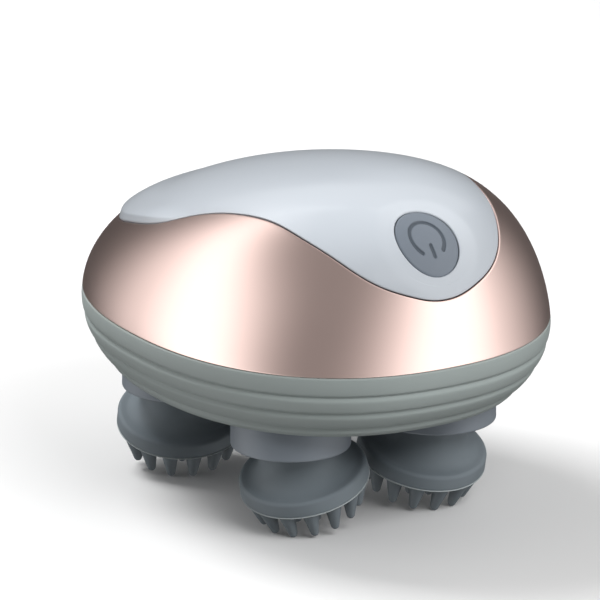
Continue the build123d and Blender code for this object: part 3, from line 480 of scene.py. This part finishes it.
# ------------------------------------------------------------------ cover
COVER_COLUMNS = 360
VIEW_TILT = math.radians(17.0)
EDGE_GAP = 0.10
EDGE_ROUNDING = 0.35
LIP_ROUNDING = 0.30
CHAMFER_WIDTH, CHAMFER_RISE, CHAMFER_FADE = 2.2, 1.1, 14.0
CHAMFER_END_X, CHAMFER_RUN = 2.0, 16.0
LIP_BORDER, BRIM_BORDER, BORDER_SHARE = 2.6, 3.4, 0.9
LIP_PLACES = (0.5, 0.8, 1.2, 1.7, 2.3)
BRIM_PLACES = (3.0, 2.5, 2.1, 1.85, 1.7, 1.55, 1.3, 1.0, 0.7, 0.5)
WELL_DEPTHS = (3.2, 1.6, 0.6, 0.15)
FIRST_REACH, REACH_STEPS = 8.0, 30
PROBE = 0.5
WALL = 2.0
EDGE_DEPTH = WALL - 0.4


def make_cover():
    """Cover skin: from the button's well over the crown to the rounded, partly raised edge."""
    angle = np.linspace(0, 2 * math.pi, 4001)
    rim = dome_point(angle, edge_level(angle))
    run = np.concatenate([[0], np.cumsum(np.linalg.norm(np.diff(rim, axis=0), axis=1))])
    even = np.interp(np.arange(COVER_COLUMNS) / COVER_COLUMNS * run[-1], run, angle)
    rim = dome_point(even, edge_level(even))

    out = np.array((math.sin(VIEW_TILT), 0, math.cos(VIEW_TILT)))
    forward = np.array((math.cos(VIEW_TILT), 0, -math.sin(VIEW_TILT)))
    aside = np.array((0.0, 1.0, 0.0))
    middle = np.array((button_middle @ forward, 0.0))
    far = np.stack([rim @ forward, rim @ aside], -1) - middle
    # The well's oval as this view sees it: scaled until the ray's end lies on the button's outline.
    ray = far / np.linalg.norm(far, axis=1, keepdims=True)
    near = np.full(len(ray), FIRST_REACH)
    for _ in range(REACH_STEPS):
        spot = middle + ray * near[:, None]
        point = drop_onto_dome(spot[:, :1] * forward + spot[:, 1:] * aside, out)
        offset = point - button_middle
        reach = np.hypot(offset @ button_along / (BUTTON_HALF_LENGTH + BUTTON_GAP),
                         offset @ button_across / (BUTTON_HALF_WIDTH + BUTTON_GAP))
        near = near / reach
    length = np.linalg.norm(far, axis=1) - near

    def surface(distance):
        spot = middle + ray * (near + distance)[:, None]
        return drop_onto_dome(spot[:, :1] * forward + spot[:, 1:] * aside, out)

    start, end = surface(0 * length), surface(length)
    start_scale = np.linalg.norm(surface(0 * length + PROBE) - start, axis=1) / PROBE
    end_scale = np.linalg.norm(surface(length - PROBE) - end, axis=1) / PROBE
    turns = np.linspace(0, math.pi / 2, 6)
    lip = [LIP_ROUNDING * (1 - math.cos(a)) for a in turns] + list(LIP_PLACES)
    brim = list(BRIM_PLACES) + [EDGE_ROUNDING * (1 - math.cos(a)) for a in turns[::-1]]
    # Where the edge passes close to the well, both borders draw in so that their rows don't cross.
    borders = LIP_BORDER / start_scale + (BRIM_BORDER + EDGE_GAP) / end_scale
    room = np.minimum(1.0, BORDER_SHARE * length / borders)
    places = [d * room / start_scale for d in lip]
    first = LIP_BORDER * room / start_scale
    last = length - (BRIM_BORDER * room + EDGE_GAP) / end_scale
    places += [first + (last - first) * share ** 1.25 for share in np.linspace(0, 1, 96)]
    places += [length - (d * room + EDGE_GAP) / end_scale for d in brim]
    points = np.stack([surface(place) for place in places])
    normal = grid_normals(points)
    if normal[len(points) // 2].mean(0)[2] < 0:
        normal = -normal

    from_start = np.linalg.norm(points - start, axis=2)
    from_end = np.maximum(np.linalg.norm(points - end, axis=2) - EDGE_GAP, 0)
    rise = CHAMFER_RISE * smoothstep((CHAMFER_END_X - points[..., 0]) / CHAMFER_RUN)
    fade = 1 - smoothstep((from_end - CHAMFER_WIDTH) / CHAMFER_FADE)
    ramp = np.minimum(from_end / CHAMFER_WIDTH, fade)
    height = rise * ramp
    height -= DISH_DEPTH * (1 - smoothstep(from_start / DISH_WIDTH))
    bend = np.clip(1 - from_start / LIP_ROUNDING, 0, 1)
    height -= LIP_ROUNDING * (1 - np.sqrt(1 - bend ** 2))
    bend = np.clip(1 - from_end / EDGE_ROUNDING, 0, 1)
    height -= EDGE_ROUNDING * (1 - np.sqrt(1 - bend ** 2))
    skin = points + normal * height[..., None]

    rows = [skin[0] - button_normal * depth for depth in WELL_DEPTHS]
    rows += list(skin)
    rows += [skin[-1] - normal[-1] * depth for depth in (0.15, 0.6, EDGE_DEPTH)]
    inner = points - normal * WALL
    rows += list(inner[len(places) - 4:len(lip) + 2:-6])
    return ring_piece("cover_skin", rows, sharp_angle=50.0)


dress(make_cover(), "housing", "cover_gloss", "top_cover")


# ------------------------------------------------------------------ band and skirt
BAND_ROUNDING, BAND_ROWS = 0.30, 64
SEAM_GAP = 0.05
BAND_FIRST, BAND_SHORTER = 0.5, 1.1


def make_band():
    """Metallic band between the seam and the cover's edge."""
    angle = np.arange(360) * 2 * math.pi / 360
    top = edge_level(angle)
    turns = np.linspace(0, math.pi / 2, 5)
    low = [BAND_ROUNDING * (1 - math.cos(a)) for a in turns]
    places = [(SEAM_GAP + d) / DOME_HEIGHT + 0 * top for d in low]
    inset = [BAND_ROUNDING * (1 - math.sin(a)) for a in turns]
    first, run = BAND_FIRST / DOME_HEIGHT, top - BAND_SHORTER / DOME_HEIGHT
    places += [first + run * share for share in np.linspace(0, 1, BAND_ROWS)]
    inset += [0.0] * BAND_ROWS
    places += [top - (d + EDGE_GAP) / DOME_HEIGHT for d in low[::-1]]
    inset += [BAND_ROUNDING * (1 - math.sin(a)) for a in turns[::-1]]
    points = np.stack([dome_point(angle, place) for place in places])
    normal = grid_normals(points)
    if (normal[:, 0] @ np.array((1.0, 0, 0))).mean() < 0:
        normal = -normal
    skin = points - normal * np.array(inset)[:, None, None]
    rows = [skin[0] - normal[0] * depth for depth in (EDGE_DEPTH, 0.8, 0.2)]
    rows += list(skin)
    rows += [skin[-1] - normal[-1] * depth for depth in (0.2, 0.8, EDGE_DEPTH)]
    rows += list((points - normal * WALL)[-6:4:-8])
    return ring_piece("band_skin", rows, sharp_angle=50.0)


def skirt_point(angle, level):
    """Point on the skirt, from the seam at 0 down to the foot at 1."""
    share = level ** SKIRT_CURVE
    x, y = outline(angle, SEAM_HALF_LENGTH - SKIRT_INSET_LENGTH * share,
                   SEAM_HALF_WIDTH - SKIRT_INSET_WIDTH * share, SEAM_EXPONENT)
    return np.stack([SEAM_X - SKIRT_SHIFT * level + x, y, SEAM_Z - SKIRT_HEIGHT * level + 0 * x], -1)


CREASE_DEPTH, CREASE_WIDTH, BAND_CROWN = 0.55, 0.55, 0.16
TOP_ROUNDING, FOOT_ROUNDING = 0.5, 0.9
SKIRT_START, SKIRT_ROWS = 0.004, 220


def make_skirt():
    """Soft skirt with moulded creases and a rounded foot."""
    angle = np.arange(360) * 2 * math.pi / 360
    places = np.linspace(SKIRT_START, 1.0, SKIRT_ROWS)
    points = np.stack([skirt_point(angle, place) for place in places])
    normal = grid_normals(points)
    if (normal[:, 0] @ np.array((1.0, 0, 0))).mean() < 0:
        normal = -normal
    stops = np.array((0.0, *CREASE_LEVELS, 1.02))
    height = np.zeros(len(places))
    for low, high in zip(stops[:-1], stops[1:]):
        share = np.clip((places - low) / (high - low), 0, 1)
        crown = BAND_CROWN * np.sin(math.pi * share) ** 0.7
        height = np.where((places >= low) & (places < high), crown, height)
    for level in CREASE_LEVELS:
        height -= CREASE_DEPTH * np.exp(-((places - level) * SKIRT_HEIGHT / CREASE_WIDTH) ** 2)
    top = np.clip(1 - (places * SKIRT_HEIGHT) / TOP_ROUNDING, 0, 1)
    height -= TOP_ROUNDING * (1 - np.sqrt(1 - top ** 2))
    foot = np.clip(1 - (1 - places) * SKIRT_HEIGHT / FOOT_ROUNDING, 0, 1)
    height -= FOOT_ROUNDING * (1 - np.sqrt(1 - foot ** 2))
    skin = points + normal * height[:, None, None]
    skin[..., 2] = np.maximum(skin[..., 2], BASE_Z)
    inner = points - normal * WALL
    inner[..., 2] = np.clip(inner[..., 2], BASE_Z, SEAM_Z - 0.1)
    rows = list(skin) + list(inner[::-12]) + [inner[0]]
    return ring_piece("skirt_skin", rows, sharp_angle=50.0)


dress(make_band(), "housing", "band_metallic", "side_band")
dress(make_skirt(), "housing", "skirt_silicone", "base_skirt")

# ------------------------------------------------------------------ button
RING_SHARE, RING_GAP = 0.54, math.radians(42.0)
STROKE, ENGRAVING, MARK_SHIFT = 0.42, 0.30, -0.45
BAR_START, BAR_END = 0.40, 1.00
CAP_ROUNDING, CAP_COLUMNS = 0.45, 224
CAP_DEPTHS = (0.2, 1.0, 3.0)


def engraving(along, across):
    """How deep the power mark is at a place on the button, 0 to 1."""
    shrink = RING_SHARE * (BUTTON_HALF_LENGTH + BUTTON_HALF_WIDTH) / 2
    x = (along - MARK_SHIFT) / BUTTON_HALF_LENGTH / RING_SHARE
    y = across / BUTTON_HALF_WIDTH / RING_SHARE
    angle = np.arctan2(y, x)
    ring = np.abs(np.hypot(x, y) - 1)
    end = np.minimum(np.hypot(x - math.cos(RING_GAP), y - math.sin(RING_GAP)),
                     np.hypot(x - math.cos(RING_GAP), y + math.sin(RING_GAP)))
    ring = np.where(np.abs(angle) < RING_GAP, end, ring)
    bar = np.hypot(x - np.clip(x, BAR_START, BAR_END), y)
    distance = np.minimum(ring, bar) * shrink
    return 1 - smoothstep((distance - STROKE * 0.6) / (STROKE * 0.8))


def make_button():
    """Oval button whose face follows the dished cover, with an engraved power mark."""
    columns = CAP_COLUMNS
    angle = np.arange(columns) * 2 * math.pi / columns
    shares = list(np.linspace(0.004, 0.93, 110))
    shares += [0.94 + 0.06 * s for s in np.sin(np.linspace(0, 1.57, 9))]
    rows, marks = [], []
    for share in shares:
        along = BUTTON_HALF_LENGTH * share * np.cos(angle)
        across = BUTTON_HALF_WIDTH * share * np.sin(angle)
        to_edge = (1 - share) * (BUTTON_HALF_LENGTH + BUTTON_HALF_WIDTH) / 2
        bend = min(1.0, max(0.0, 1 - to_edge / CAP_ROUNDING))
        mark = engraving(along, across)
        rounded = CAP_ROUNDING * (1 - math.sqrt(1 - bend ** 2))
        depth = DISH_DEPTH + BUTTON_SINK + rounded + ENGRAVING * mark
        rows.append(button_surface(along, across) - button_normal * depth[:, None])
        marks.append(mark)
    rim = rows[-1]
    for depth in CAP_DEPTHS:
        rows.append(rim - button_normal * depth)
        marks.append(0 * angle)
    pole_top = rows[0].mean(0)
    pole_low = rows[-1].mean(0) - button_normal * 0.5
    grid = np.stack(rows)
    faces = grid_faces(len(rows), columns, False)
    count = len(rows) * columns
    last = (len(rows) - 1) * columns
    for c in range(columns):
        right = (c + 1) % columns
        faces.append((count, right, c))
        faces.append((count + 1, last + c, last + right))
    vertices = np.concatenate([grid.reshape(-1, 3), [pole_top, pole_low]])
    piece = piece_from("button_cap", vertices, faces, sharp_angle=55.0)
    # The engraving mask also sets the painted shade in the grooves.
    layer = piece.data.attributes.new("engraved", "FLOAT", "POINT")
    flat = np.concatenate([np.concatenate(marks), [0.0, 0.0]])
    layer.data.foreach_set("value", flat.astype(np.float32))
    return piece


dress(make_button(), "push_button", "button_plastic", "power_button")

# ------------------------------------------------------------------ heads
HEAD_TILT = math.radians(18.0)
HEAD_LEANS = {"front_right": -65.0, "front_left": 7.0, "rear_right": -30.0, "rear_left": 35.0}
turning = {joint["name"]: joint for joint in frame["joints"]}


def head_matrix(name):
    """From a head's own frame, its axis down -Z from the pivot, to the part's frame."""
    pivot = Vector(turning["crank_turn_" + name]["pos_m"])
    turn = Matrix.Rotation(math.radians(HEAD_LEANS[name]), 4, "Z")
    lean = Matrix.Rotation(HEAD_TILT, 4, "Y")
    return Matrix.Translation(pivot) @ turn @ lean


COLLAR_WALL, COLLAR_GAP = 1.2, 0.05


def make_collar(name):
    """Collar round a head's opening, standing proud of the base."""
    low, high = (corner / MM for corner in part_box("collar_" + name))
    bottom, top = low.z, BASE_Z - COLLAR_GAP
    outer = (high.x - low.x) / 2
    bore = outer - COLLAR_WALL
    profile = soft_profile([
        (bore, top, 0), (outer, top, 0), (outer, bottom, 0.6), (bore, bottom, 0.35),
    ], closed=True)
    middle = Vector(((low.x + high.x) / 2 * MM, (low.y + high.y) / 2 * MM, 0))
    return turned_piece("collar_skin_" + name, profile, 128, True, matrix=Matrix.Translation(middle))


NECK_RADIUS, NECK_TOP, FLARE_START = 8.6, 4.2, 8.4
RIDGE_RADIUS, RIDGE_DROP, LIP_RADIUS, LIP_DROP = 14.15, 14.7, 14.5, 17.7
FLARE_RADIUS, FLARE_DROP, FLARE_SWEEP = 13.0, 14.2, math.radians(84)
PAD_RADIUS, PAD_SEAT = 13.2, 2.0
SOCKET_RADIUS, SOCKET_DEPTH = 5.0, 0.6
FLASH_HEIGHT, HIGHLIGHT_BORDER = 0.3, 0.4


def make_cup(name):
    """Soft cup: neck, concave shoulder, rounded ridge and lip."""
    arc = []
    for k in range(25):
        a = k / 24 * FLARE_SWEEP
        arc.append((FLARE_RADIUS - (FLARE_RADIUS - NECK_RADIUS) * math.cos(a),
                    -FLARE_START - (FLARE_DROP - FLARE_START) * math.sin(a), 0))
    corners = [(0.0, -NECK_TOP - SOCKET_DEPTH, 0), (SOCKET_RADIUS, -NECK_TOP - SOCKET_DEPTH, 0.2),
               (SOCKET_RADIUS, -NECK_TOP, 0.2), (NECK_RADIUS, -NECK_TOP, 0.7)]
    corners += arc
    corners += [(RIDGE_RADIUS + 0.1, -RIDGE_DROP + 0.5, 0.95), (LIP_RADIUS, -LIP_DROP, 0.3),
                (PAD_RADIUS, -LIP_DROP, 0), (PAD_RADIUS, -LIP_DROP + PAD_SEAT, 0),
                (0.0, -LIP_DROP + PAD_SEAT, 0)]
    profile = soft_profile(corners)
    return turned_piece("cup_skin_" + name, profile, 160, matrix=head_matrix(name), sharp_angle=50.0)


def finger_tree():
    """Ring of blunt fingers that lean inwards: the sizes are the tree's named inputs."""
    tree = bpy.data.node_groups.new("finger_ring", "GeometryNodeTree")
    add = tree.nodes.new
    link = tree.links.new
    face = tree.interface
    face.new_socket("Geometry", in_out="OUTPUT", socket_type="NodeSocketGeometry")
    face.new_socket("Fingers", in_out="INPUT", socket_type="NodeSocketInt")
    for size in ("Ring radius", "Base radius", "Tip radius", "Length", "Lean", "Turn", "Drop"):
        face.new_socket(size, in_out="INPUT", socket_type="NodeSocketFloat")
    face.new_socket("Material", in_out="INPUT", socket_type="NodeSocketMaterial")
    given = add("NodeGroupInput").outputs
    result = add("NodeGroupOutput")

    math_node = maths_in(tree)

    def vector(x=0.0, y=0.0, z=0.0):
        node = add("ShaderNodeCombineXYZ")
        for socket, value in zip(node.inputs, (x, y, z)):
            if isinstance(value, (int, float)):
                socket.default_value = value
            else:
                link(value, socket)
        return node.outputs[0]

    line = add("GeometryNodeCurvePrimitiveLine")
    link(vector(z=math_node("MULTIPLY", given["Length"], -1.0)), line.inputs["End"])
    fine = add("GeometryNodeResampleCurve")
    fine.inputs["Count"].default_value = 22
    link(line.outputs["Curve"], fine.inputs["Curve"])
    along = add("GeometryNodeSplineParameter").outputs["Factor"]
    # Straight taper, then a round end over the last part of the length.
    taper = add("ShaderNodeMapRange")
    link(along, taper.inputs["Value"])
    link(given["Base radius"], taper.inputs["To Min"])
    link(given["Tip radius"], taper.inputs["To Max"])
    end_share = math_node("DIVIDE", given["Tip radius"], given["Length"])
    left = math_node("DIVIDE", math_node("SUBTRACT", 1.0, along), end_share)
    inside = math_node("SUBTRACT", 1.0, math_node("MINIMUM", left, 1.0))
    # A little over 1, so that the tip's last section isn't a point.
    dome = math_node("SQRT", math_node("SUBTRACT", 1.0003, math_node("MULTIPLY", inside, inside)))
    radius = add("GeometryNodeSetCurveRadius")
    link(fine.outputs["Curve"], radius.inputs["Curve"])
    link(math_node("MULTIPLY", taper.outputs["Result"], dome), radius.inputs["Radius"])
    section = add("GeometryNodeCurvePrimitiveCircle")
    section.inputs["Resolution"].default_value = 24
    section.inputs["Radius"].default_value = 1.0
    tube = add("GeometryNodeCurveToMesh")
    tube.inputs["Fill Caps"].default_value = True
    link(radius.outputs["Curve"], tube.inputs["Curve"])
    link(section.outputs["Curve"], tube.inputs["Profile Curve"])
    if "Scale" in tube.inputs:
        reader = add("GeometryNodeInputRadius")
        link(reader.outputs["Radius"], tube.inputs["Scale"])

    ring = add("GeometryNodeMeshCircle")
    link(given["Fingers"], ring.inputs["Vertices"])
    link(given["Ring radius"], ring.inputs["Radius"])
    index = add("GeometryNodeInputIndex").outputs[0]
    turn = math_node("DIVIDE", math_node("MULTIPLY", index, 2 * math.pi), given["Fingers"])
    place = add("GeometryNodeInstanceOnPoints")
    link(ring.outputs["Mesh"], place.inputs["Points"])
    link(tube.outputs["Mesh"], place.inputs["Instance"])
    link(vector(y=given["Lean"], z=turn), place.inputs["Rotation"])
    settle = add("GeometryNodeTransform")
    link(place.outputs["Instances"], settle.inputs["Geometry"])
    link(vector(z=math_node("MULTIPLY", given["Drop"], -1.0)), settle.inputs["Translation"])
    link(vector(z=given["Turn"]), settle.inputs["Rotation"])
    real = add("GeometryNodeRealizeInstances")
    link(settle.outputs["Geometry"], real.inputs["Geometry"])
    paint = add("GeometryNodeSetMaterial")
    link(real.outputs["Geometry"], paint.inputs["Geometry"])
    link(given["Material"], paint.inputs["Material"])
    link(paint.outputs["Geometry"], result.inputs["Geometry"])
    return tree


FINGER_RINGS = (
    {"Fingers": 14, "Ring radius": 12.0, "Turn": math.pi / 14},
    {"Fingers": 7, "Ring radius": 6.2, "Turn": 0.0},
)
FINGER_LEAN = math.atan2(1.1, 6.0)
FINGER_SIZES = {"Base radius": 2.05, "Tip radius": 0.8, "Drop": 17.95, "Lean": FINGER_LEAN}
FINGER_END = 25.2
fingers = finger_tree()


def grow(tree, name, values):
    """Plain mesh grown by a node tree with these input values."""
    holder = bpy.data.objects.new(name, bpy.data.meshes.new(name))
    bpy.context.scene.collection.objects.link(holder)
    modifier = holder.modifiers.new("grow", "NODES")
    modifier.node_group = tree
    for socket in tree.interface.items_tree:
        if socket.in_out == "INPUT" and socket.name in values:
            modifier[socket.identifier] = values[socket.name]
    view = bpy.context.evaluated_depsgraph_get()
    mesh = bpy.data.meshes.new_from_object(holder.evaluated_get(view), depsgraph=view)
    bpy.data.objects.remove(holder)
    return mesh


def make_pad(name):
    """Finger pad: disc with a thin moulding flash, whose rim carries a painted highlight in a paler colour, and
    its fingers.
    """
    profile = soft_profile([
        (0.0, -LIP_DROP + 1.9, 0), (PAD_RADIUS - 0.1, -LIP_DROP + 1.9, 0),
        (PAD_RADIUS - 0.1, -LIP_DROP - 0.02, 0),
        (LIP_RADIUS + 0.12, -LIP_DROP - 0.02, 0.10), (LIP_RADIUS - 0.05, -LIP_DROP - FLASH_HEIGHT, 0.10),
        (0.0, -LIP_DROP - FLASH_HEIGHT, 0),
    ], steps=4)
    piece = turned_piece("pad_skin_" + name, profile, 160, sharp_angle=45.0)
    build = bmesh.new()
    build.from_mesh(piece.data)
    pale = build.verts.layers.float.new("pale")
    # Vertices near the rim get the painted highlight.
    for vertex in build.verts:
        vertex[pale] = 1.0 if vertex.co.xy.length > (LIP_RADIUS - HIGHLIGHT_BORDER) * MM else 0.0
    slant = math.cos(FINGER_LEAN)
    for ring in FINGER_RINGS:
        values = {**ring, **FINGER_SIZES}
        reach = FINGER_END - FINGER_SIZES["Drop"] - FINGER_SIZES["Tip radius"] * (1 - slant)
        values["Length"] = reach / slant
        for size in ("Ring radius", "Base radius", "Tip radius", "Length", "Drop"):
            values[size] *= MM
        values["Material"] = finishes["head_rubber"].material
        build.from_mesh(grow(fingers, "fingers", values))
    bmesh.ops.remove_doubles(build, verts=build.verts, dist=MERGE_DISTANCE)
    build.to_mesh(piece.data)
    build.free()
    piece.data.transform(head_matrix(name))
    piece.data.polygons.foreach_set("use_smooth", [True] * len(piece.data.polygons))
    piece.data.set_sharp_from_angle(angle=math.radians(45))
    return piece


for head in HEAD_LEANS:
    dress(make_collar(head), "housing", "collar_plastic", "collar_" + head)
    dress(make_cup(head), "massage_" + head, "head_rubber", "head_cup_" + head)
    dress(make_pad(head), "massage_" + head, "head_rubber", "finger_pad_" + head)

# ------------------------------------------------------------------ floor, light and camera
VIEW_AZIMUTH, VIEW_ELEVATION = math.radians(59.716), math.radians(18.023)
VIEW_DISTANCE = 4.0
PIXELS_PER_MM = 4.518
IMAGE_WIDTH = 600
AIM_MM = (-3.1, 0.0, 47.2)
AIM_PIXEL = (308.702, 286.584)
CAMERA_REACH = 50.0

right = Vector((math.cos(VIEW_AZIMUTH), math.sin(VIEW_AZIMUTH), 0))
back = Vector((math.sin(VIEW_AZIMUTH) * math.cos(VIEW_ELEVATION),
               -math.cos(VIEW_AZIMUTH) * math.cos(VIEW_ELEVATION), math.sin(VIEW_ELEVATION)))
up = back.cross(right)
toward = Vector((back.x, back.y, 0)).normalized()

FLOOR_BOUNCE, FLOOR_PALENESS, FLOOR_GLOW = 0.20, 0.80, 0.02
FLOOR_SIZE = 12.0
LAMP_DISTANCE = 0.90
LAMP_AIM = Vector((0, 0, 0.05))


def make_floor():
    """Pale floor under the part."""
    bpy.ops.mesh.primitive_plane_add(size=FLOOR_SIZE)
    floor = bpy.context.object
    floor.name = "floor"
    material = bpy.data.materials.new("pale_floor")
    material.use_nodes = True
    nodes, links = material.node_tree.nodes, material.node_tree.links
    shader = nodes["Principled BSDF"]
    shader.inputs["Roughness"].default_value = 0.9
    shader.inputs["Specular IOR Level"].default_value = 0.1
    shader.inputs["Emission Color"].default_value = (1, 1, 1, 1)
    seen = nodes.new("ShaderNodeLightPath").outputs["Is Camera Ray"]
    # The floor looks pale, but sends little light back up under the part.
    shade = nodes.new("ShaderNodeMapRange")
    shade.inputs["To Min"].default_value = FLOOR_BOUNCE
    shade.inputs["To Max"].default_value = FLOOR_PALENESS
    links.new(seen, shade.inputs["Value"])
    links.new(shade.outputs["Result"], shader.inputs["Base Color"])
    glow = nodes.new("ShaderNodeMath")
    glow.operation = "MULTIPLY"
    glow.inputs[1].default_value = FLOOR_GLOW
    links.new(seen, glow.inputs[0])
    links.new(glow.outputs[0], shader.inputs["Emission Strength"])
    floor.data.materials.append(material)
    floor.visible_glossy = False


def add_softbox(name, azimuth, elevation, width, height, power):
    """Soft lamp at an azimuth from the camera's side, positive to the camera's right."""
    a, e = math.radians(azimuth), math.radians(elevation)
    level = toward * math.cos(a) + right * math.sin(a)
    way = level * math.cos(e) + Vector((0, 0, math.sin(e)))
    lamp = bpy.data.lights.new(name, "AREA")
    lamp.shape = "RECTANGLE"
    lamp.size, lamp.size_y = width, height
    lamp.energy = power
    holder = bpy.data.objects.new(name, lamp)
    bpy.context.scene.collection.objects.link(holder)
    holder.location = LAMP_AIM + way * LAMP_DISTANCE
    holder.rotation_euler = way.to_track_quat("Z", "Y").to_euler()
    holder.visible_camera = False
    return holder


make_floor()
add_softbox("key_box", -122.0, 53.0, 0.42, 0.42, 7.0).visible_glossy = False
add_softbox("front_box", 30.0, 38.0, 0.50, 0.40, 4.4).visible_glossy = False
add_softbox("rear_box", 178.0, 38.0, 0.90, 0.35, 0.5)

# Brightness of the studio wall round the part: degrees from the camera's side, positive to its right.
LIGHT_WALL = (
    (-180, 0.05), (-155, 0.06), (-138, 0.18), (-118, 0.76), (-100, 1.70), (-84, 2.00), (-66, 1.60), (-50, 0.80),
    (-34, 0.37), (-16, 0.30), (2, 0.37), (18, 0.64), (34, 1.18), (54, 1.90), (72, 1.88),
    (92, 1.16), (112, 0.68), (130, 0.33), (150, 0.10), (180, 0.05),
)
WALL_LEAN = 1.1
WALL_PEAK = 2.0
WALL_SPILL = 0.55


def make_studio():
    """World light: two tall bright walls at the sides that lean back overhead, darker elsewhere."""
    world = bpy.data.worlds.new("studio")
    bpy.context.scene.world = world
    world.use_nodes = True
    nodes, links = world.node_tree.nodes, world.node_tree.links
    math_node = maths_in(world.node_tree)
    turn = nodes.new("ShaderNodeVectorRotate")
    turn.rotation_type = "Z_AXIS"
    turn.inputs["Angle"].default_value = math.radians(90) - VIEW_AZIMUTH
    links.new(nodes.new("ShaderNodeTexCoord").outputs["Generated"], turn.inputs["Vector"])
    split = nodes.new("ShaderNodeSeparateXYZ")
    links.new(turn.outputs["Vector"], split.inputs["Vector"])
    rise = math_node("MAXIMUM", split.outputs["Z"], 0.0)
    lean = math_node("MULTIPLY", math_node("MULTIPLY", rise, rise), WALL_LEAN)
    ahead = math_node("ADD", split.outputs["X"], lean)
    side = math_node("ARCTAN2", split.outputs["Y"], ahead)
    place = math_node("ADD", math_node("DIVIDE", side, 2 * math.pi), 0.5)
    ramp = nodes.new("ShaderNodeValToRGB")
    ramp.color_ramp.interpolation = "CARDINAL"
    elements = ramp.color_ramp.elements
    while len(elements) < len(LIGHT_WALL):
        elements.new(0.5)
    for element, (degrees, level) in zip(elements, LIGHT_WALL):
        element.position = degrees / 360 + 0.5
        element.color = (*[level / WALL_PEAK] * 3, 1)
    links.new(place, ramp.inputs["Fac"])
    path = nodes.new("ShaderNodeLightPath")
    white = nodes.new("ShaderNodeMix")
    white.data_type = "RGBA"
    links.new(path.outputs["Is Camera Ray"], white.inputs["Factor"])
    shades = [socket for socket in white.inputs if socket.type == "RGBA"]
    links.new(ramp.outputs["Color"], shades[0])
    shades[1].default_value = (*[1 / WALL_PEAK] * 3, 1)
    colour = [socket for socket in white.outputs if socket.type == "RGBA"][0]
    links.new(colour, nodes["Background"].inputs["Color"])
    # The walls show in the glossy pieces at full strength, and light the matt ones less than the lamps do.
    spill = math_node("MULTIPLY", path.outputs["Is Diffuse Ray"], WALL_PEAK * (1 - WALL_SPILL))
    links.new(math_node("SUBTRACT", WALL_PEAK, spill), nodes["Background"].inputs["Strength"])


make_studio()

camera_data = bpy.data.cameras.new("camera")
camera_data.lens = PIXELS_PER_MM * VIEW_DISTANCE / MM / IMAGE_WIDTH * camera_data.sensor_width
camera_data.clip_end = CAMERA_REACH
camera = bpy.data.objects.new("camera", camera_data)
bpy.context.scene.collection.objects.link(camera)
aim = Vector(AIM_MM) * MM
aim += right * (IMAGE_WIDTH / 2 - AIM_PIXEL[0]) / PIXELS_PER_MM * MM
aim -= up * (IMAGE_WIDTH / 2 - AIM_PIXEL[1]) / PIXELS_PER_MM * MM
camera.location = aim + back * VIEW_DISTANCE
camera.rotation_euler = back.to_track_quat("Z", "Y").to_euler()
bpy.context.scene.camera = camera
bpy.context.scene.view_settings.view_transform = "Standard"
